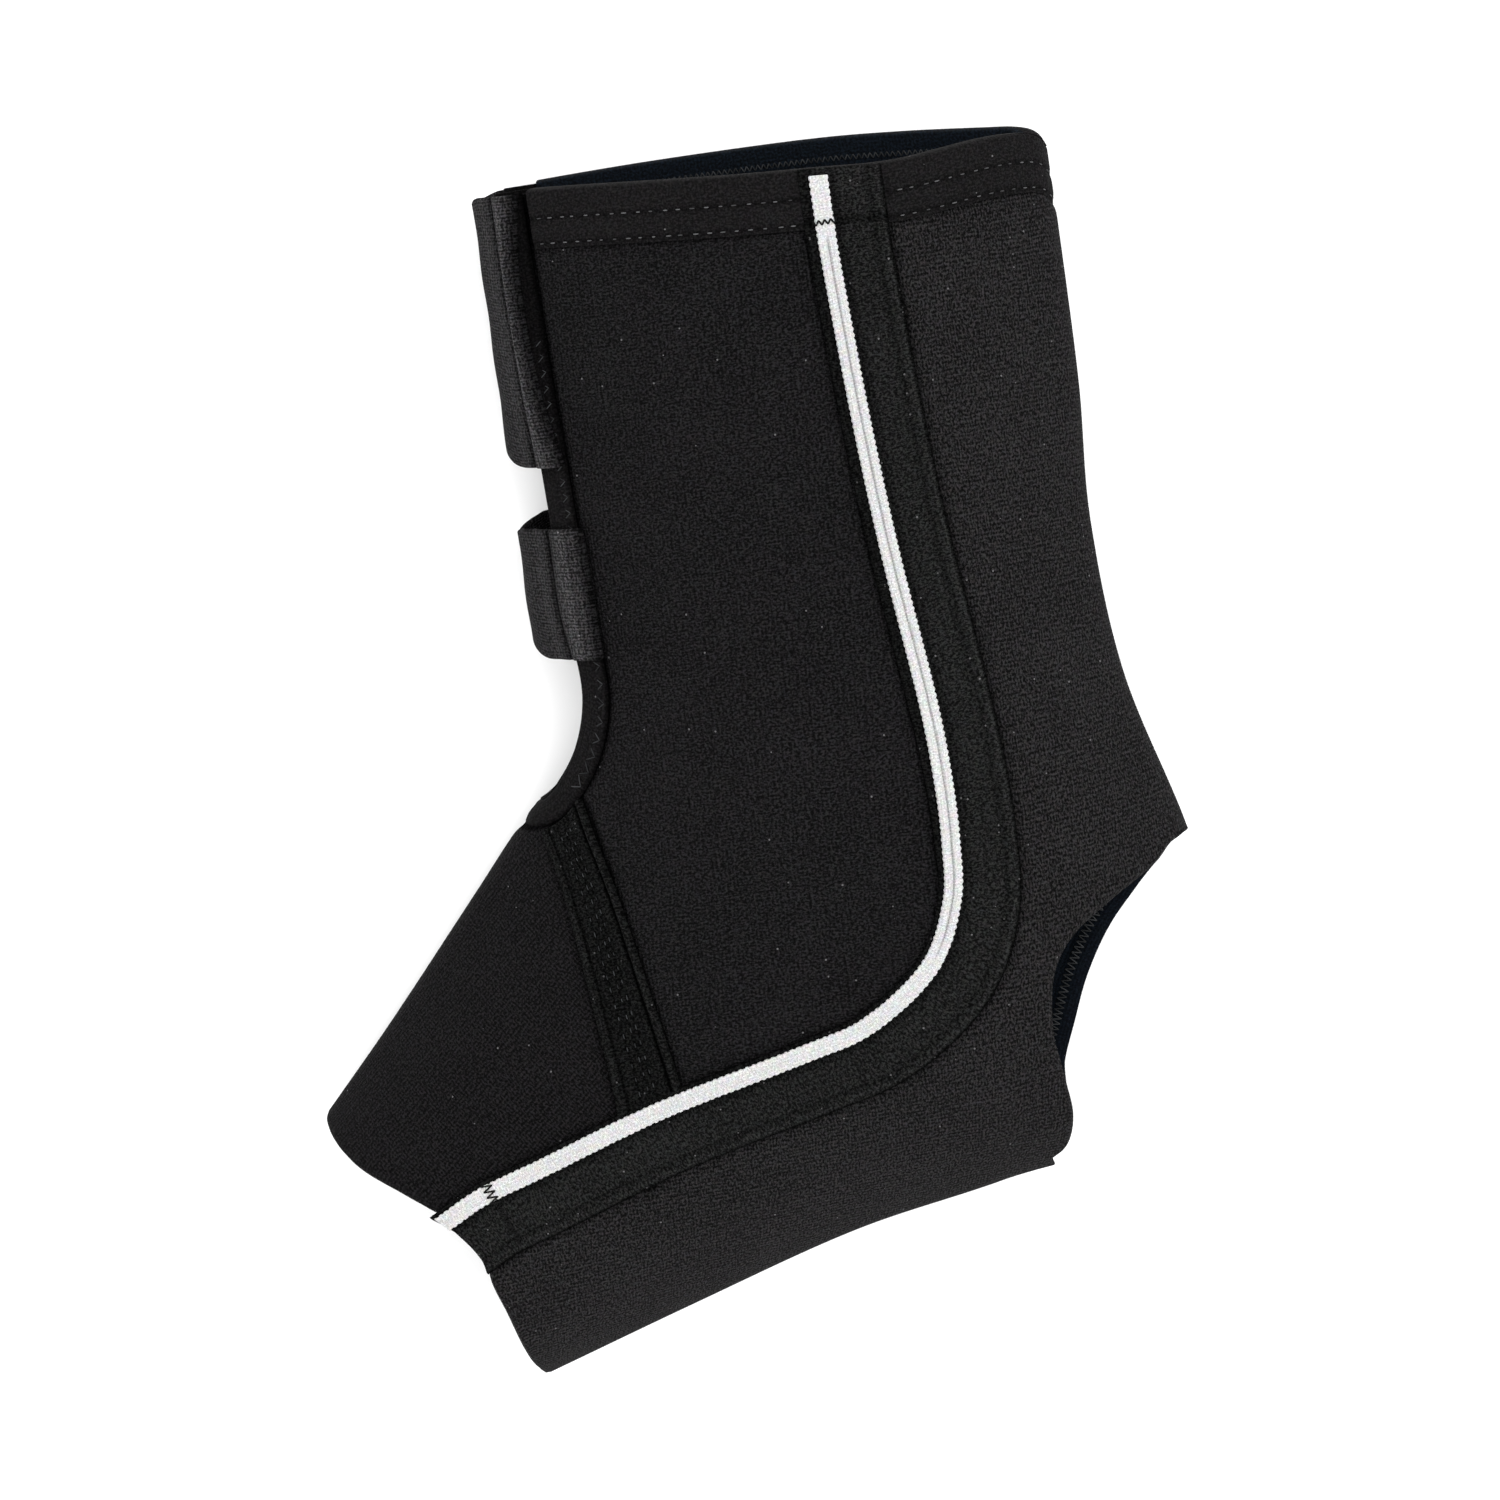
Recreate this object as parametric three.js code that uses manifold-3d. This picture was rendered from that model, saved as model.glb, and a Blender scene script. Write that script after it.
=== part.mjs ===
// An ankle brace that lies on its side: a sleeve of foam cloth, open at the leg, the toes and the heel,
// with a slit down its front that two elastic bands bridge.
// Millimetres, +Z up. The leg runs along +Y and the toes point to -X. The far side lies flat on the
// floor, and the near side arches over it.
import * as THREE from 'three';
import { mergeVertices } from 'three/addons/utils/BufferGeometryUtils.js';
import Module from 'manifold-3d';

const wasm = await Module();
wasm.setup();

// Driving dimensions
const LEG_WIDTH = 123.4;
const LEG_HEIGHT = 142;
const FOOT_REACH = 132;
const FOOT_DROP = 122;
const HEEL_REACH = 75.5;
const ANKLE_LOFT = 45;
const FOLD_RADIUS = 9;
const FOAM_WALL = 4;
const TAPE_THICKNESS = 0.8;
const TRIM_THICKNESS = 1.2;
const ELASTIC_THICKNESS = 1.2;
const TRIM_WIDTH = 4;
const SEAM_TAPE_WIDTH = 18.6;
const SEAM_TAPE_LAP = 4;
const INSTEP_TAPE_WIDTH = 15.5;
const INSTEP_TAPE_END_WIDTH = 8.5;
const HEM_WIDTH = 12.5;
const BINDING_WIDTH = 6.8;
const FACING_WIDTH = 10;
const UPPER_BAND_WIDTH = 58;
const LOWER_BAND_WIDTH = 28;
const BAND_DROP = 1;
const BAND_GAP = 14;
const CLEARANCE = 0.3;

// How finely the sleeve is faceted
const STEPS_ON_THE_LEG = 2;
const STEPS_ON_THE_FOOT = 3;
const CROWN_STEPS = 8;
const FOLD_STEPS = 6;
const STEPS_ALONG_A_PATH = 2;

// Heights of the layers above the outer face of the foam. Minus is towards the leg.
const TAPE_BASE = CLEARANCE;
const TAPE_TOP = TAPE_BASE + TAPE_THICKNESS;
const OVERLAY_BASE = TAPE_TOP + CLEARANCE;
const TRIM_TOP = OVERLAY_BASE + TRIM_THICKNESS;
const BAND_TOP = OVERLAY_BASE + ELASTIC_THICKNESS;
const LINING_BASE = -FOAM_WALL - CLEARANCE;
const LINING_TOP = LINING_BASE - TAPE_THICKNESS;
const FLOOR_LIFT = Math.max(TRIM_TOP, BAND_TOP);

// Sections across the leg, from above the rim down to the bend of the ankle. Each has the places of its
// front and back folds, x in shares of LEG_WIDTH and y of LEG_HEIGHT, and its height, of ANKLE_LOFT.
const LEG_SECTIONS = [
  { frontX: -0.521, frontY: 1.07, backX: 0.475, backY: 1.07, loft: 0.82 },
  { frontX: -0.522, frontY: 0.845, backX: 0.478, backY: 0.845, loft: 0.82 },
  { frontX: -0.524, frontY: 0.592, backX: 0.478, backY: 0.592, loft: 0.82 },
  { frontX: -0.528, frontY: 0.366, backX: 0.467, backY: 0.38, loft: 0.845 },
  { frontX: -0.528, frontY: 0.211, backX: 0.49, backY: 0.141, loft: 0.89 },
];

// Sections that fan round the bend and on along the foot, past its toe end. The front x is in shares of
// FOOT_REACH, the back x of HEEL_REACH behind the ankle or FOOT_REACH before it, and y of FOOT_DROP.
const FOOT_SECTIONS = [
  { frontX: -0.505, frontY: 0.119, backX: 0.922, backY: -0.12, loft: 0.955 },
  { frontX: -0.533, frontY: 0.039, backX: 1, backY: -0.377, loft: 1 },
  { frontX: -0.568, frontY: 0.004, backX: 0.742, backY: -0.648, loft: 0.98 },
  { frontX: -0.617, frontY: -0.049, backX: 0.265, backY: -0.725, loft: 0.935 },
  { frontX: -0.723, frontY: -0.172, backX: -0.106, backY: -0.784, loft: 0.87 },
  { frontX: -0.852, frontY: -0.324, backX: -0.394, backY: -0.884, loft: 0.82 },
  { frontX: -0.996, frontY: -0.488, backX: -0.697, backY: -0.996, loft: 0.8 },
];

// Seams and edges on the sleeve. Station counts the sections from 0 at the rim end, with decimals
// between them, and across runs from -1 at the front fold to 1 at the back fold.
const RIM_NEAR = [
  { station: 0.37, across: -1.35 },
  { station: 0.36, across: -0.9 },
  { station: 0.39, across: -0.4 },
  { station: 0.44, across: 0.16 },
  { station: 0.49, across: 0.5 },
  { station: 0.45, across: 0.8 },
  { station: 0.4, across: 1.35 },
];
const RIM_FAR = [
  { station: 0.37, across: -1.35 },
  { station: 0.33, across: -0.9 },
  { station: 0.29, across: -0.4 },
  { station: 0.28, across: 0.16 },
  { station: 0.3, across: 0.5 },
  { station: 0.36, across: 0.8 },
  { station: 0.43, across: 1.35 },
];
const TOE_NEAR = [
  { station: 10.55, across: -1.35 },
  { station: 10.75, across: -1 },
  { station: 10.82, across: -0.77 },
  { station: 10.74, across: -0.45 },
  { station: 10.65, across: -0.15 },
  { station: 10.65, across: 0.11 },
  { station: 10.75, across: 0.5 },
  { station: 10.83, across: 0.85 },
  { station: 10.83, across: 1.35 },
];
const TOE_FAR = [
  { station: 10.55, across: -1.35 },
  { station: 10.75, across: -1 },
  { station: 10.83, across: -0.77 },
  { station: 10.82, across: -0.45 },
  { station: 10.78, across: -0.15 },
  { station: 10.78, across: 0.11 },
  { station: 10.81, across: 0.5 },
  { station: 10.85, across: 0.85 },
  { station: 10.83, across: 1.35 },
];
const HEEL_NEAR = [
  { station: 4.9, across: 1.25 },
  { station: 4.99, across: 1 },
  { station: 5.19, across: 0.86 },
  { station: 5.49, across: 0.7 },
  { station: 5.84, across: 0.574 },
  { station: 6.21, across: 0.53 },
  { station: 6.6, across: 0.572 },
  { station: 6.93, across: 0.672 },
  { station: 7.25, across: 0.81 },
  { station: 7.5, across: 0.935 },
  { station: 7.68, across: 1.02 },
  { station: 7.76, across: 1.2 },
];
const HEEL_FAR = [
  { station: 4.9, across: 1.25 },
  { station: 5, across: 1 },
  { station: 5.26, across: 0.889 },
  { station: 5.58, across: 0.755 },
  { station: 5.93, across: 0.66 },
  { station: 6.3, across: 0.622 },
  { station: 6.63, across: 0.638 },
  { station: 6.96, across: 0.69 },
  { station: 7.25, across: 0.81 },
  { station: 7.5, across: 0.935 },
  { station: 7.68, across: 1.02 },
  { station: 7.76, across: 1.2 },
];
const SLIT_EDGE = [
  { station: -0.2, across: -0.91 },
  { station: 0.8, across: -0.904 },
  { station: 1.6, across: -0.892 },
  { station: 2.4, across: -0.872 },
  { station: 3, across: -0.868 },
  { station: 3.6, across: -0.842 },
  { station: 4, across: -0.85 },
  { station: 4.46, across: -0.885 },
  { station: 5, across: -0.932 },
  { station: 5.6, across: -0.985 },
  { station: 6.1, across: -1.08 },
];
const SIDE_SEAM = [
  { station: -0.2, across: 0.222 },
  { station: 0.8, across: 0.218 },
  { station: 1.5, across: 0.234 },
  { station: 2.2, across: 0.262 },
  { station: 3, across: 0.311 },
  { station: 4, across: 0.343 },
  { station: 4.6, across: 0.31 },
  { station: 5.12, across: 0.268 },
  { station: 5.7, across: 0.212 },
  { station: 6.34, across: 0.168 },
  { station: 7.67, across: 0.087 },
  { station: 8.86, across: 0.02 },
  { station: 9.76, across: -0.071 },
  { station: 10.3, across: -0.132 },
  { station: 10.98, across: -0.2 },
];
const INSTEP_SEAM = [
  { station: 5.25, across: -1.12 },
  { station: 5.5, across: -0.94 },
  { station: 8.8, across: -0.058 },
  { station: 9.3, across: 0.14 },
];
const UPPER_BAND_END = [
  { station: -0.2, across: -0.89 },
  { station: 0.4, across: -0.875 },
  { station: 2.1, across: -0.785 },
  { station: 2.6, across: -0.76 },
];
const LOWER_BAND_END = [
  { station: 2.1, across: -0.757 },
  { station: 2.5, across: -0.752 },
  { station: 3.55, across: -0.741 },
  { station: 4, across: -0.735 },
];
const FRONT_MARGIN = -1.35;
const BACK_MARGIN = 1.35;
const MARGIN_STATIONS = [1, 2, 3, 4, 5, 6, 7, 8, 9, 10];

// Materials
const foamCloth = new THREE.MeshStandardMaterial({ color: 0x201e20, roughness: 0.95, metalness: 0 });
const blackTape = new THREE.MeshStandardMaterial({ color: 0x1c1b1c, roughness: 0.9, metalness: 0 });
const whitePiping = new THREE.MeshStandardMaterial({ color: 0xe4e4e4, roughness: 0.8, metalness: 0 });
const elastic = new THREE.MeshStandardMaterial({ color: 0x363536, roughness: 0.9, metalness: 0 });

// The folds and the height of the sleeve, as smooth curves through the section tables
const lengthReach = (share) => share * (share < 0 ? FOOT_REACH : HEEL_REACH);
const frontFold = new THREE.CatmullRomCurve3([
  ...LEG_SECTIONS.map((row) => new THREE.Vector3(row.frontX * LEG_WIDTH, row.frontY * LEG_HEIGHT, 0)),
  ...FOOT_SECTIONS.map((row) => new THREE.Vector3(lengthReach(row.frontX), row.frontY * FOOT_DROP, 0)),
], false, 'catmullrom');
const backFold = new THREE.CatmullRomCurve3([
  ...LEG_SECTIONS.map((row) => new THREE.Vector3(row.backX * LEG_WIDTH, row.backY * LEG_HEIGHT, 0)),
  ...FOOT_SECTIONS.map((row) => new THREE.Vector3(lengthReach(row.backX), row.backY * FOOT_DROP, 0)),
], false, 'catmullrom');
const crest = new THREE.CatmullRomCurve3(
  [...LEG_SECTIONS, ...FOOT_SECTIONS].map((row) => new THREE.Vector3(0, 0, row.loft * ANKLE_LOFT)),
  false,
  'catmullrom',
);
const LAST_STATION = LEG_SECTIONS.length + FOOT_SECTIONS.length - 1;

// Stations where the sleeve's net has a ring, closer together where it bends
const ringStations = [];
for (let section = 0; section < LAST_STATION; section += 1) {
  const steps = section < LEG_SECTIONS.length - 1 ? STEPS_ON_THE_LEG : STEPS_ON_THE_FOOT;
  for (let i = 0; i < steps; i += 1) ringStations.push(section + i / steps);
}
ringStations.push(LAST_STATION);

// The plan line of one section: its middle, its direction towards the back, half its width, its height.
function sectionAt(station) {
  const share = THREE.MathUtils.clamp(station / LAST_STATION, 0, 1);
  const front = frontFold.getPoint(share);
  const back = backFold.getPoint(share);
  const middle = new THREE.Vector2(front.x + back.x, front.y + back.y).divideScalar(2);
  const towardsBack = new THREE.Vector2(back.x - front.x, back.y - front.y).divideScalar(2);
  const half = towardsBack.length();
  return { middle, towardsBack: towardsBack.divideScalar(half), half, rise: crest.getPoint(share).z };
}

// A point of the plan, from its station and its share across. Past either end it runs on along the leg.
function place({ station, across }) {
  const section = sectionAt(station);
  const point = section.middle.clone().addScaledVector(section.towardsBack, across * section.half);
  if (station < 0) {
    const next = sectionAt(1).middle;
    point.addScaledVector(section.middle.clone().sub(next), -station);
  }
  return point;
}

// One section's outline at a distance from the foam's outer face: a broad arc over the top, a round
// fold at each side, tangent to it, and a flat bottom. Pairs of place across and height.
function sectionOutline({ half, rise }, distance) {
  const side = half - FOLD_RADIUS;
  const crown = (side ** 2 + rise ** 2 - 2 * rise * FOLD_RADIUS) / (2 * rise - 4 * FOLD_RADIUS);
  const turn = Math.asin(side / (crown - FOLD_RADIUS));
  const overTop = [];
  for (let i = 0; i <= CROWN_STEPS; i += 1) {
    const angle = turn * (2 * i / CROWN_STEPS - 1);
    overTop.push([(crown + distance) * Math.sin(angle), rise - crown + (crown + distance) * Math.cos(angle)]);
  }
  const backSide = [];
  for (let i = 1; i <= FOLD_STEPS; i += 1) {
    const angle = turn + (Math.PI - turn) * i / FOLD_STEPS;
    const reach = (FOLD_RADIUS + distance) * Math.sin(angle);
    backSide.push([side + reach, FOLD_RADIUS + (FOLD_RADIUS + distance) * Math.cos(angle)]);
  }
  const frontSide = backSide.map(([x, z]) => [-x, z]).reverse();
  return [...overTop, ...backSide, ...frontSide];
}

// A closed mesh as a solid that can be joined and cut, and back.
function toSolid(positions, indices) {
  let geometry = new THREE.BufferGeometry();
  geometry.setAttribute('position', new THREE.Float32BufferAttribute(positions, 3));
  geometry.setIndex(indices);
  geometry = mergeVertices(geometry, 1e-4);
  return new wasm.Manifold(new wasm.Mesh({
    numProp: 3,
    vertProperties: new Float32Array(geometry.attributes.position.array),
    triVerts: new Uint32Array(geometry.index.array),
  }));
}

function toGeometry(solid) {
  const { vertProperties, triVerts } = solid.getMesh();
  const geometry = new THREE.BufferGeometry();
  geometry.setAttribute('position', new THREE.Float32BufferAttribute(vertProperties, 3));
  geometry.setIndex(Array.from(triVerts));
  geometry.computeVertexNormals();
  return geometry;
}

// The whole sleeve as one filled solid, grown by a distance from the foam's outer face. All of these
// share one net of stations, so a larger one never crosses a smaller one.
const filledSleeves = new Map();
function filledSleeve(distance) {
  if (filledSleeves.has(distance)) return filledSleeves.get(distance);
  const positions = [];
  const indices = [];
  const rings = ringStations.length;
  let count = 0;
  for (const station of ringStations) {
    const section = sectionAt(station);
    const outline = sectionOutline(section, distance);
    count = outline.length;
    for (const [across, height] of outline) {
      const { x, y } = section.middle.clone().addScaledVector(section.towardsBack, across);
      positions.push(x, y, height + FLOOR_LIFT);
    }
  }
  for (let i = 0; i < rings - 1; i += 1) {
    for (let j = 0; j < count; j += 1) {
      const here = i * count + j;
      const beside = i * count + (j + 1) % count;
      indices.push(here, here + count, beside, beside, here + count, beside + count);
    }
  }
  for (let j = 1; j < count - 1; j += 1) {
    const end = (rings - 1) * count;
    indices.push(0, j, j + 1, end, end + j + 1, end + j);
  }
  const solid = toSolid(positions, indices);
  filledSleeves.set(distance, solid);
  return solid;
}

// The wall between two distances from the foam's outer face
const wallBetween = (inner, outer) => filledSleeve(outer).subtract(filledSleeve(inner));

// A smooth path through placed points
function pathThrough(points) {
  const placed = points.map(place).map(({ x, y }) => new THREE.Vector3(x, y, 0));
  const curve = new THREE.CatmullRomCurve3(placed, false, 'catmullrom');
  return curve.getPoints((points.length - 1) * STEPS_ALONG_A_PATH).map(({ x, y }) => new THREE.Vector2(x, y));
}

// The path moved sideways, to its left seen from above where the distance is above 0. The distance is a
// number, or a function of the share of the path's points passed.
function beside(path, distance) {
  return path.map((point, i) => {
    const before = path[Math.max(i - 1, 0)];
    const after = path[Math.min(i + 1, path.length - 1)];
    const along = after.clone().sub(before).normalize();
    const shift = typeof distance === 'function' ? distance(i / (path.length - 1)) : distance;
    return new THREE.Vector2(point.x - along.y * shift, point.y + along.x * shift);
  });
}

const stripBeside = (path, from, to) => [...beside(path, from), ...beside(path, to).reverse()];

// An upright cutter through both walls. Its sides are ruled between an outline on the far wall and one
// on the near wall, which have as many points as each other.
function cutter(nearOutline, farOutline = nearOutline) {
  const nearLevel = FLOOR_LIFT + ANKLE_LOFT * 0.75;
  const farLevel = FLOOR_LIFT;
  const turned = THREE.ShapeUtils.area(nearOutline) < 0;
  const near = turned ? [...nearOutline].reverse() : nearOutline;
  const far = turned ? [...farOutline].reverse() : farOutline;
  const count = near.length;
  const positions = [];
  const outlineAt = (height) => near.map((point, i) => {
    return far[i].clone().lerp(point, (height - farLevel) / (nearLevel - farLevel));
  });
  const bottom = outlineAt(-FOLD_RADIUS);
  const top = outlineAt(FLOOR_LIFT + ANKLE_LOFT + FOLD_RADIUS);
  for (const { x, y } of bottom) positions.push(x, y, -FOLD_RADIUS);
  for (const { x, y } of top) positions.push(x, y, FLOOR_LIFT + ANKLE_LOFT + FOLD_RADIUS);
  const indices = [];
  for (let i = 0; i < count; i += 1) {
    const next = (i + 1) % count;
    indices.push(i, next, next + count, i, next + count, i + count);
  }
  for (const [a, b, c] of THREE.ShapeUtils.triangulateShape(bottom, [])) indices.push(a, c, b);
  for (const [a, b, c] of THREE.ShapeUtils.triangulateShape(top, [])) {
    indices.push(a + count, b + count, c + count);
  }
  return toSolid(positions, indices);
}

const margin = (stations, across) => stations.map((station) => place({ station, across }));

// What lies under the rim and behind the toe edge, with the rim moved out by a distance
const rimNear = pathThrough(RIM_NEAR);
const rimFar = pathThrough(RIM_FAR);
const toeNear = pathThrough(TOE_NEAR);
const toeFar = pathThrough(TOE_FAR);
const frontMargin = margin([...MARGIN_STATIONS], FRONT_MARGIN);
const backMargin = margin([...MARGIN_STATIONS], BACK_MARGIN);
function insideOpenings(beyondRim) {
  const outline = (rim, toe) => [
    ...beside(rim, beyondRim),
    ...backMargin,
    ...[...toe].reverse(),
    ...[...frontMargin].reverse(),
  ];
  return cutter(outline(rimNear, toeNear), outline(rimFar, toeFar));
}
const sleeveLength = insideOpenings(0);

// The two halves of the sleeve, above and below its folds
const farBlock = new THREE.BoxGeometry(8 * LEG_WIDTH, 8 * LEG_HEIGHT, 2 * (FLOOR_LIFT + FOLD_RADIUS));
const farHalf = toSolid(Array.from(farBlock.attributes.position.array), Array.from(farBlock.index.array));
const nearPart = (solid) => solid.subtract(farHalf);
const farPart = (solid) => solid.intersect(farHalf);

// The seams and edges as cutters
const slitEdge = pathThrough(SLIT_EDGE);
const slitFront = slitEdge.map(({ y }) => new THREE.Vector2(-LEG_WIDTH, y)).reverse();
const slit = cutter([...slitEdge, ...slitFront]);
const heelNear = pathThrough(HEEL_NEAR);
const heelFar = pathThrough(HEEL_FAR);
const heelBack = margin([7.4, 7, 6.5, 6, 5.5, 5.2], BACK_MARGIN);
const heelCutter = (wider) => cutter(
  [...beside(heelNear, -wider), ...heelBack],
  [...beside(heelFar, -wider), ...heelBack],
);
const heelOpening = heelCutter(0);
const sideSeam = pathThrough(SIDE_SEAM);
const tapeEdgeFront = -SEAM_TAPE_LAP;
const tapeEdgeBack = SEAM_TAPE_WIDTH - SEAM_TAPE_LAP;
const tapeMiddle = (tapeEdgeFront + tapeEdgeBack) / 2;
const wholeBackMargin = margin([11, 10, 9, 8, 7, 6, 5, 4, 3, 2, 1, -0.2], BACK_MARGIN);
const behindSeam = (distance) => cutter([...beside(sideSeam, distance), ...wholeBackMargin]);
const instepSeam = pathThrough(INSTEP_SEAM);
const pastInstep = (distance) => cutter([
  ...beside(instepSeam, distance),
  ...margin([10, 11], BACK_MARGIN),
  ...margin([11, 9, 8, 7], FRONT_MARGIN),
]);

// Foam panels: the sleeve's wall cut open at the heel and the slit, and parted along its seams
const foam = wallBetween(-FOAM_WALL, 0).intersect(sleeveLength).subtract(heelOpening).subtract(slit);
const halfGap = CLEARANCE / 2;
const backPanel = foam.intersect(behindSeam(tapeMiddle + halfGap));
const beforeSeam = foam.subtract(behindSeam(tapeMiddle - halfGap));
const sidePanels = beforeSeam.subtract(pastInstep(halfGap));
const forefootPanel = beforeSeam.intersect(pastInstep(-halfGap));

// Seam tapes lie on the foam over the long side seams. The piping lies on their front part.
const tapeLayer = wallBetween(TAPE_BASE, TAPE_TOP);
const overlay = wallBetween(OVERLAY_BASE, TRIM_TOP).intersect(sleeveLength);
const seamTapes = tapeLayer.intersect(sleeveLength)
  .intersect(cutter(stripBeside(sideSeam, tapeEdgeFront, tapeEdgeBack)));
const trims = overlay.intersect(cutter(stripBeside(sideSeam, -TRIM_WIDTH / 2, TRIM_WIDTH / 2)));

// Instep tapes narrow, seen in plan, where they turn down over the fold. They end at the binding and at
// the seam tape.
const instepHalfWidth = (share) => (INSTEP_TAPE_END_WIDTH + (INSTEP_TAPE_WIDTH - INSTEP_TAPE_END_WIDTH) * share) / 2;
const slitWider = (distance) => cutter([...beside(slitEdge, distance), ...slitFront]);
const instepTapes = tapeLayer
  .intersect(cutter([
    ...beside(instepSeam, (share) => -instepHalfWidth(share)),
    ...beside(instepSeam, instepHalfWidth).reverse(),
  ]))
  .subtract(behindSeam(tapeEdgeFront - CLEARANCE))
  .subtract(slitWider(BINDING_WIDTH + CLEARANCE));

// The hem is one tape folded over the rim. Its outer leg is notched where the seam tapes run up to the
// rim, and it ends at the binding on both sides of the slit.
const foldedTape = wallBetween(LINING_TOP, TAPE_TOP);
const insideTape = wallBetween(LINING_BASE, TAPE_BASE).intersect(insideOpenings(CLEARANCE));
const hem = foldedTape
  .intersect(cutter(stripBeside(rimNear, -HEM_WIDTH, TAPE_TOP), stripBeside(rimFar, -HEM_WIDTH, TAPE_TOP)))
  .subtract(insideTape)
  .subtract(slitWider(BINDING_WIDTH + CLEARANCE))
  .subtract(wallBetween(0, TRIM_TOP)
    .intersect(insideOpenings(CLEARANCE))
    .intersect(cutter(stripBeside(sideSeam, tapeEdgeFront - CLEARANCE, tapeEdgeBack + CLEARANCE))));

// The binding is one tape folded over the edge of the slit, down one side, round its lower end and up
// the other.
const binding = foldedTape
  .intersect(insideOpenings(TAPE_TOP))
  .intersect(cutter(stripBeside(slitEdge, -TAPE_TOP, BINDING_WIDTH)))
  .subtract(insideTape.subtract(slitWider(-CLEARANCE)));

// Elastic bands run round the front of the sleeve, over the hem and the binding, from one sewn end to
// the other.
const bandLayer = wallBetween(OVERLAY_BASE, BAND_TOP);
const upperBandTop = -BAND_DROP;
const lowerBandTop = upperBandTop - UPPER_BAND_WIDTH - BAND_GAP;
function band(top, width, end) {
  const sewnEnd = pathThrough(end);
  const front = sewnEnd.map(({ y }) => new THREE.Vector2(-LEG_WIDTH, y)).reverse();
  return bandLayer
    .intersect(cutter(stripBeside(rimNear, top - width, top), stripBeside(rimFar, top - width, top)))
    .intersect(cutter([...sewnEnd, ...front]));
}

// The heel facing is a tape inside the foam, all round the heel opening.
const facing = wallBetween(LINING_TOP, LINING_BASE).intersect(heelCutter(FACING_WIDTH)).subtract(heelOpening);

const brace = new THREE.Group();
function addPiece(name, solid, material) {
  const mesh = new THREE.Mesh(toGeometry(solid), material);
  mesh.name = name;
  brace.add(mesh);
}
addPiece('side_panel_near', nearPart(sidePanels), foamCloth);
addPiece('side_panel_far', farPart(sidePanels), foamCloth);
addPiece('back_panel', backPanel, foamCloth);
addPiece('forefoot_panel', forefootPanel, foamCloth);
addPiece('seam_tape_near', nearPart(seamTapes), blackTape);
addPiece('seam_tape_far', farPart(seamTapes), blackTape);
addPiece('trim_near', nearPart(trims), whitePiping);
addPiece('trim_far', farPart(trims), whitePiping);
addPiece('instep_tape_near', nearPart(instepTapes), blackTape);
addPiece('instep_tape_far', farPart(instepTapes), blackTape);
addPiece('hem_tape', hem, blackTape);
addPiece('front_binding', binding, blackTape);
addPiece('upper_band', band(upperBandTop, UPPER_BAND_WIDTH, UPPER_BAND_END), elastic);
addPiece('lower_band', band(lowerBandTop, LOWER_BAND_WIDTH, LOWER_BAND_END), elastic);
addPiece('heel_facing', facing, blackTape);

// The origin is on the floor under the middle of the brace.
const bounds = new THREE.Box3().setFromObject(brace);
const middle = bounds.getCenter(new THREE.Vector3());
brace.position.set(-middle.x, -middle.y, -bounds.min.z);

export default brace;
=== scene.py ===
"""An ankle brace of foam cloth that lies on its side, dressed over its CAD frame."""
import math

import bpy
import numpy as np
from mathutils import Matrix, Vector


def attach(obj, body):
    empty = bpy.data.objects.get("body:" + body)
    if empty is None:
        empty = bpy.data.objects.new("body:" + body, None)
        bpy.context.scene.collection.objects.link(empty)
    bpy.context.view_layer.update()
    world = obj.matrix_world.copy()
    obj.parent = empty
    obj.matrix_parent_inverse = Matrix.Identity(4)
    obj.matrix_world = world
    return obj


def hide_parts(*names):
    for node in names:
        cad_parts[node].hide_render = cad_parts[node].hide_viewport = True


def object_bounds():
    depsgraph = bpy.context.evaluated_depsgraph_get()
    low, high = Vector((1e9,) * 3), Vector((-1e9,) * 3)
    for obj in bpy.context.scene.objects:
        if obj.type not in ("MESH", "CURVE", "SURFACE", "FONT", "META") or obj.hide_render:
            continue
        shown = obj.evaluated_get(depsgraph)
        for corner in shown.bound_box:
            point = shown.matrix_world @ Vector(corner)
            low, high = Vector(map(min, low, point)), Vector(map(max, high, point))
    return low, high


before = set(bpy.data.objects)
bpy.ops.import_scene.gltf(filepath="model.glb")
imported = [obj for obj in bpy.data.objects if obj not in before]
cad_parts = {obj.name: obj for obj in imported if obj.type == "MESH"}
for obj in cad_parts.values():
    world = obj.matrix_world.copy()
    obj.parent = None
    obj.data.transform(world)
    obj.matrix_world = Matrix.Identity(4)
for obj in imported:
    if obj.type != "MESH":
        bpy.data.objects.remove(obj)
cad_low, cad_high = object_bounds()

# The camera looks down on the near side of the brace. It is set by the ankle, which is the origin of
# the brace's drawing in millimetres. The frame has its origin under the middle of the brace's box.
DRAWING_MIDDLE = (-28.528152, 12.63504)
PHOTO_SIZE = 1500
ANKLE_PIXEL = (860, 800)
ANKLE_HEIGHT = 15
LENS_LENGTH = 120
SENSOR_WIDTH = 36
CAMERA_RISE = 1090.14
VIEW_LEAN = math.radians(3.5)
VIEW_TILT = math.radians(8.5)
LEG_TURN = math.radians(-8)

box_middle = (cad_low + cad_high) / 2 * 1000
drawing_shift = np.array([box_middle.x - DRAWING_MIDDLE[0], box_middle.y - DRAWING_MIDDLE[1], 0])


def to_frame(points):
    """Drawing millimetres to the frame's metres: moved by the drawing's shift and divided by 1000."""
    return (np.asarray(points) + drawing_shift) / 1000


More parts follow.
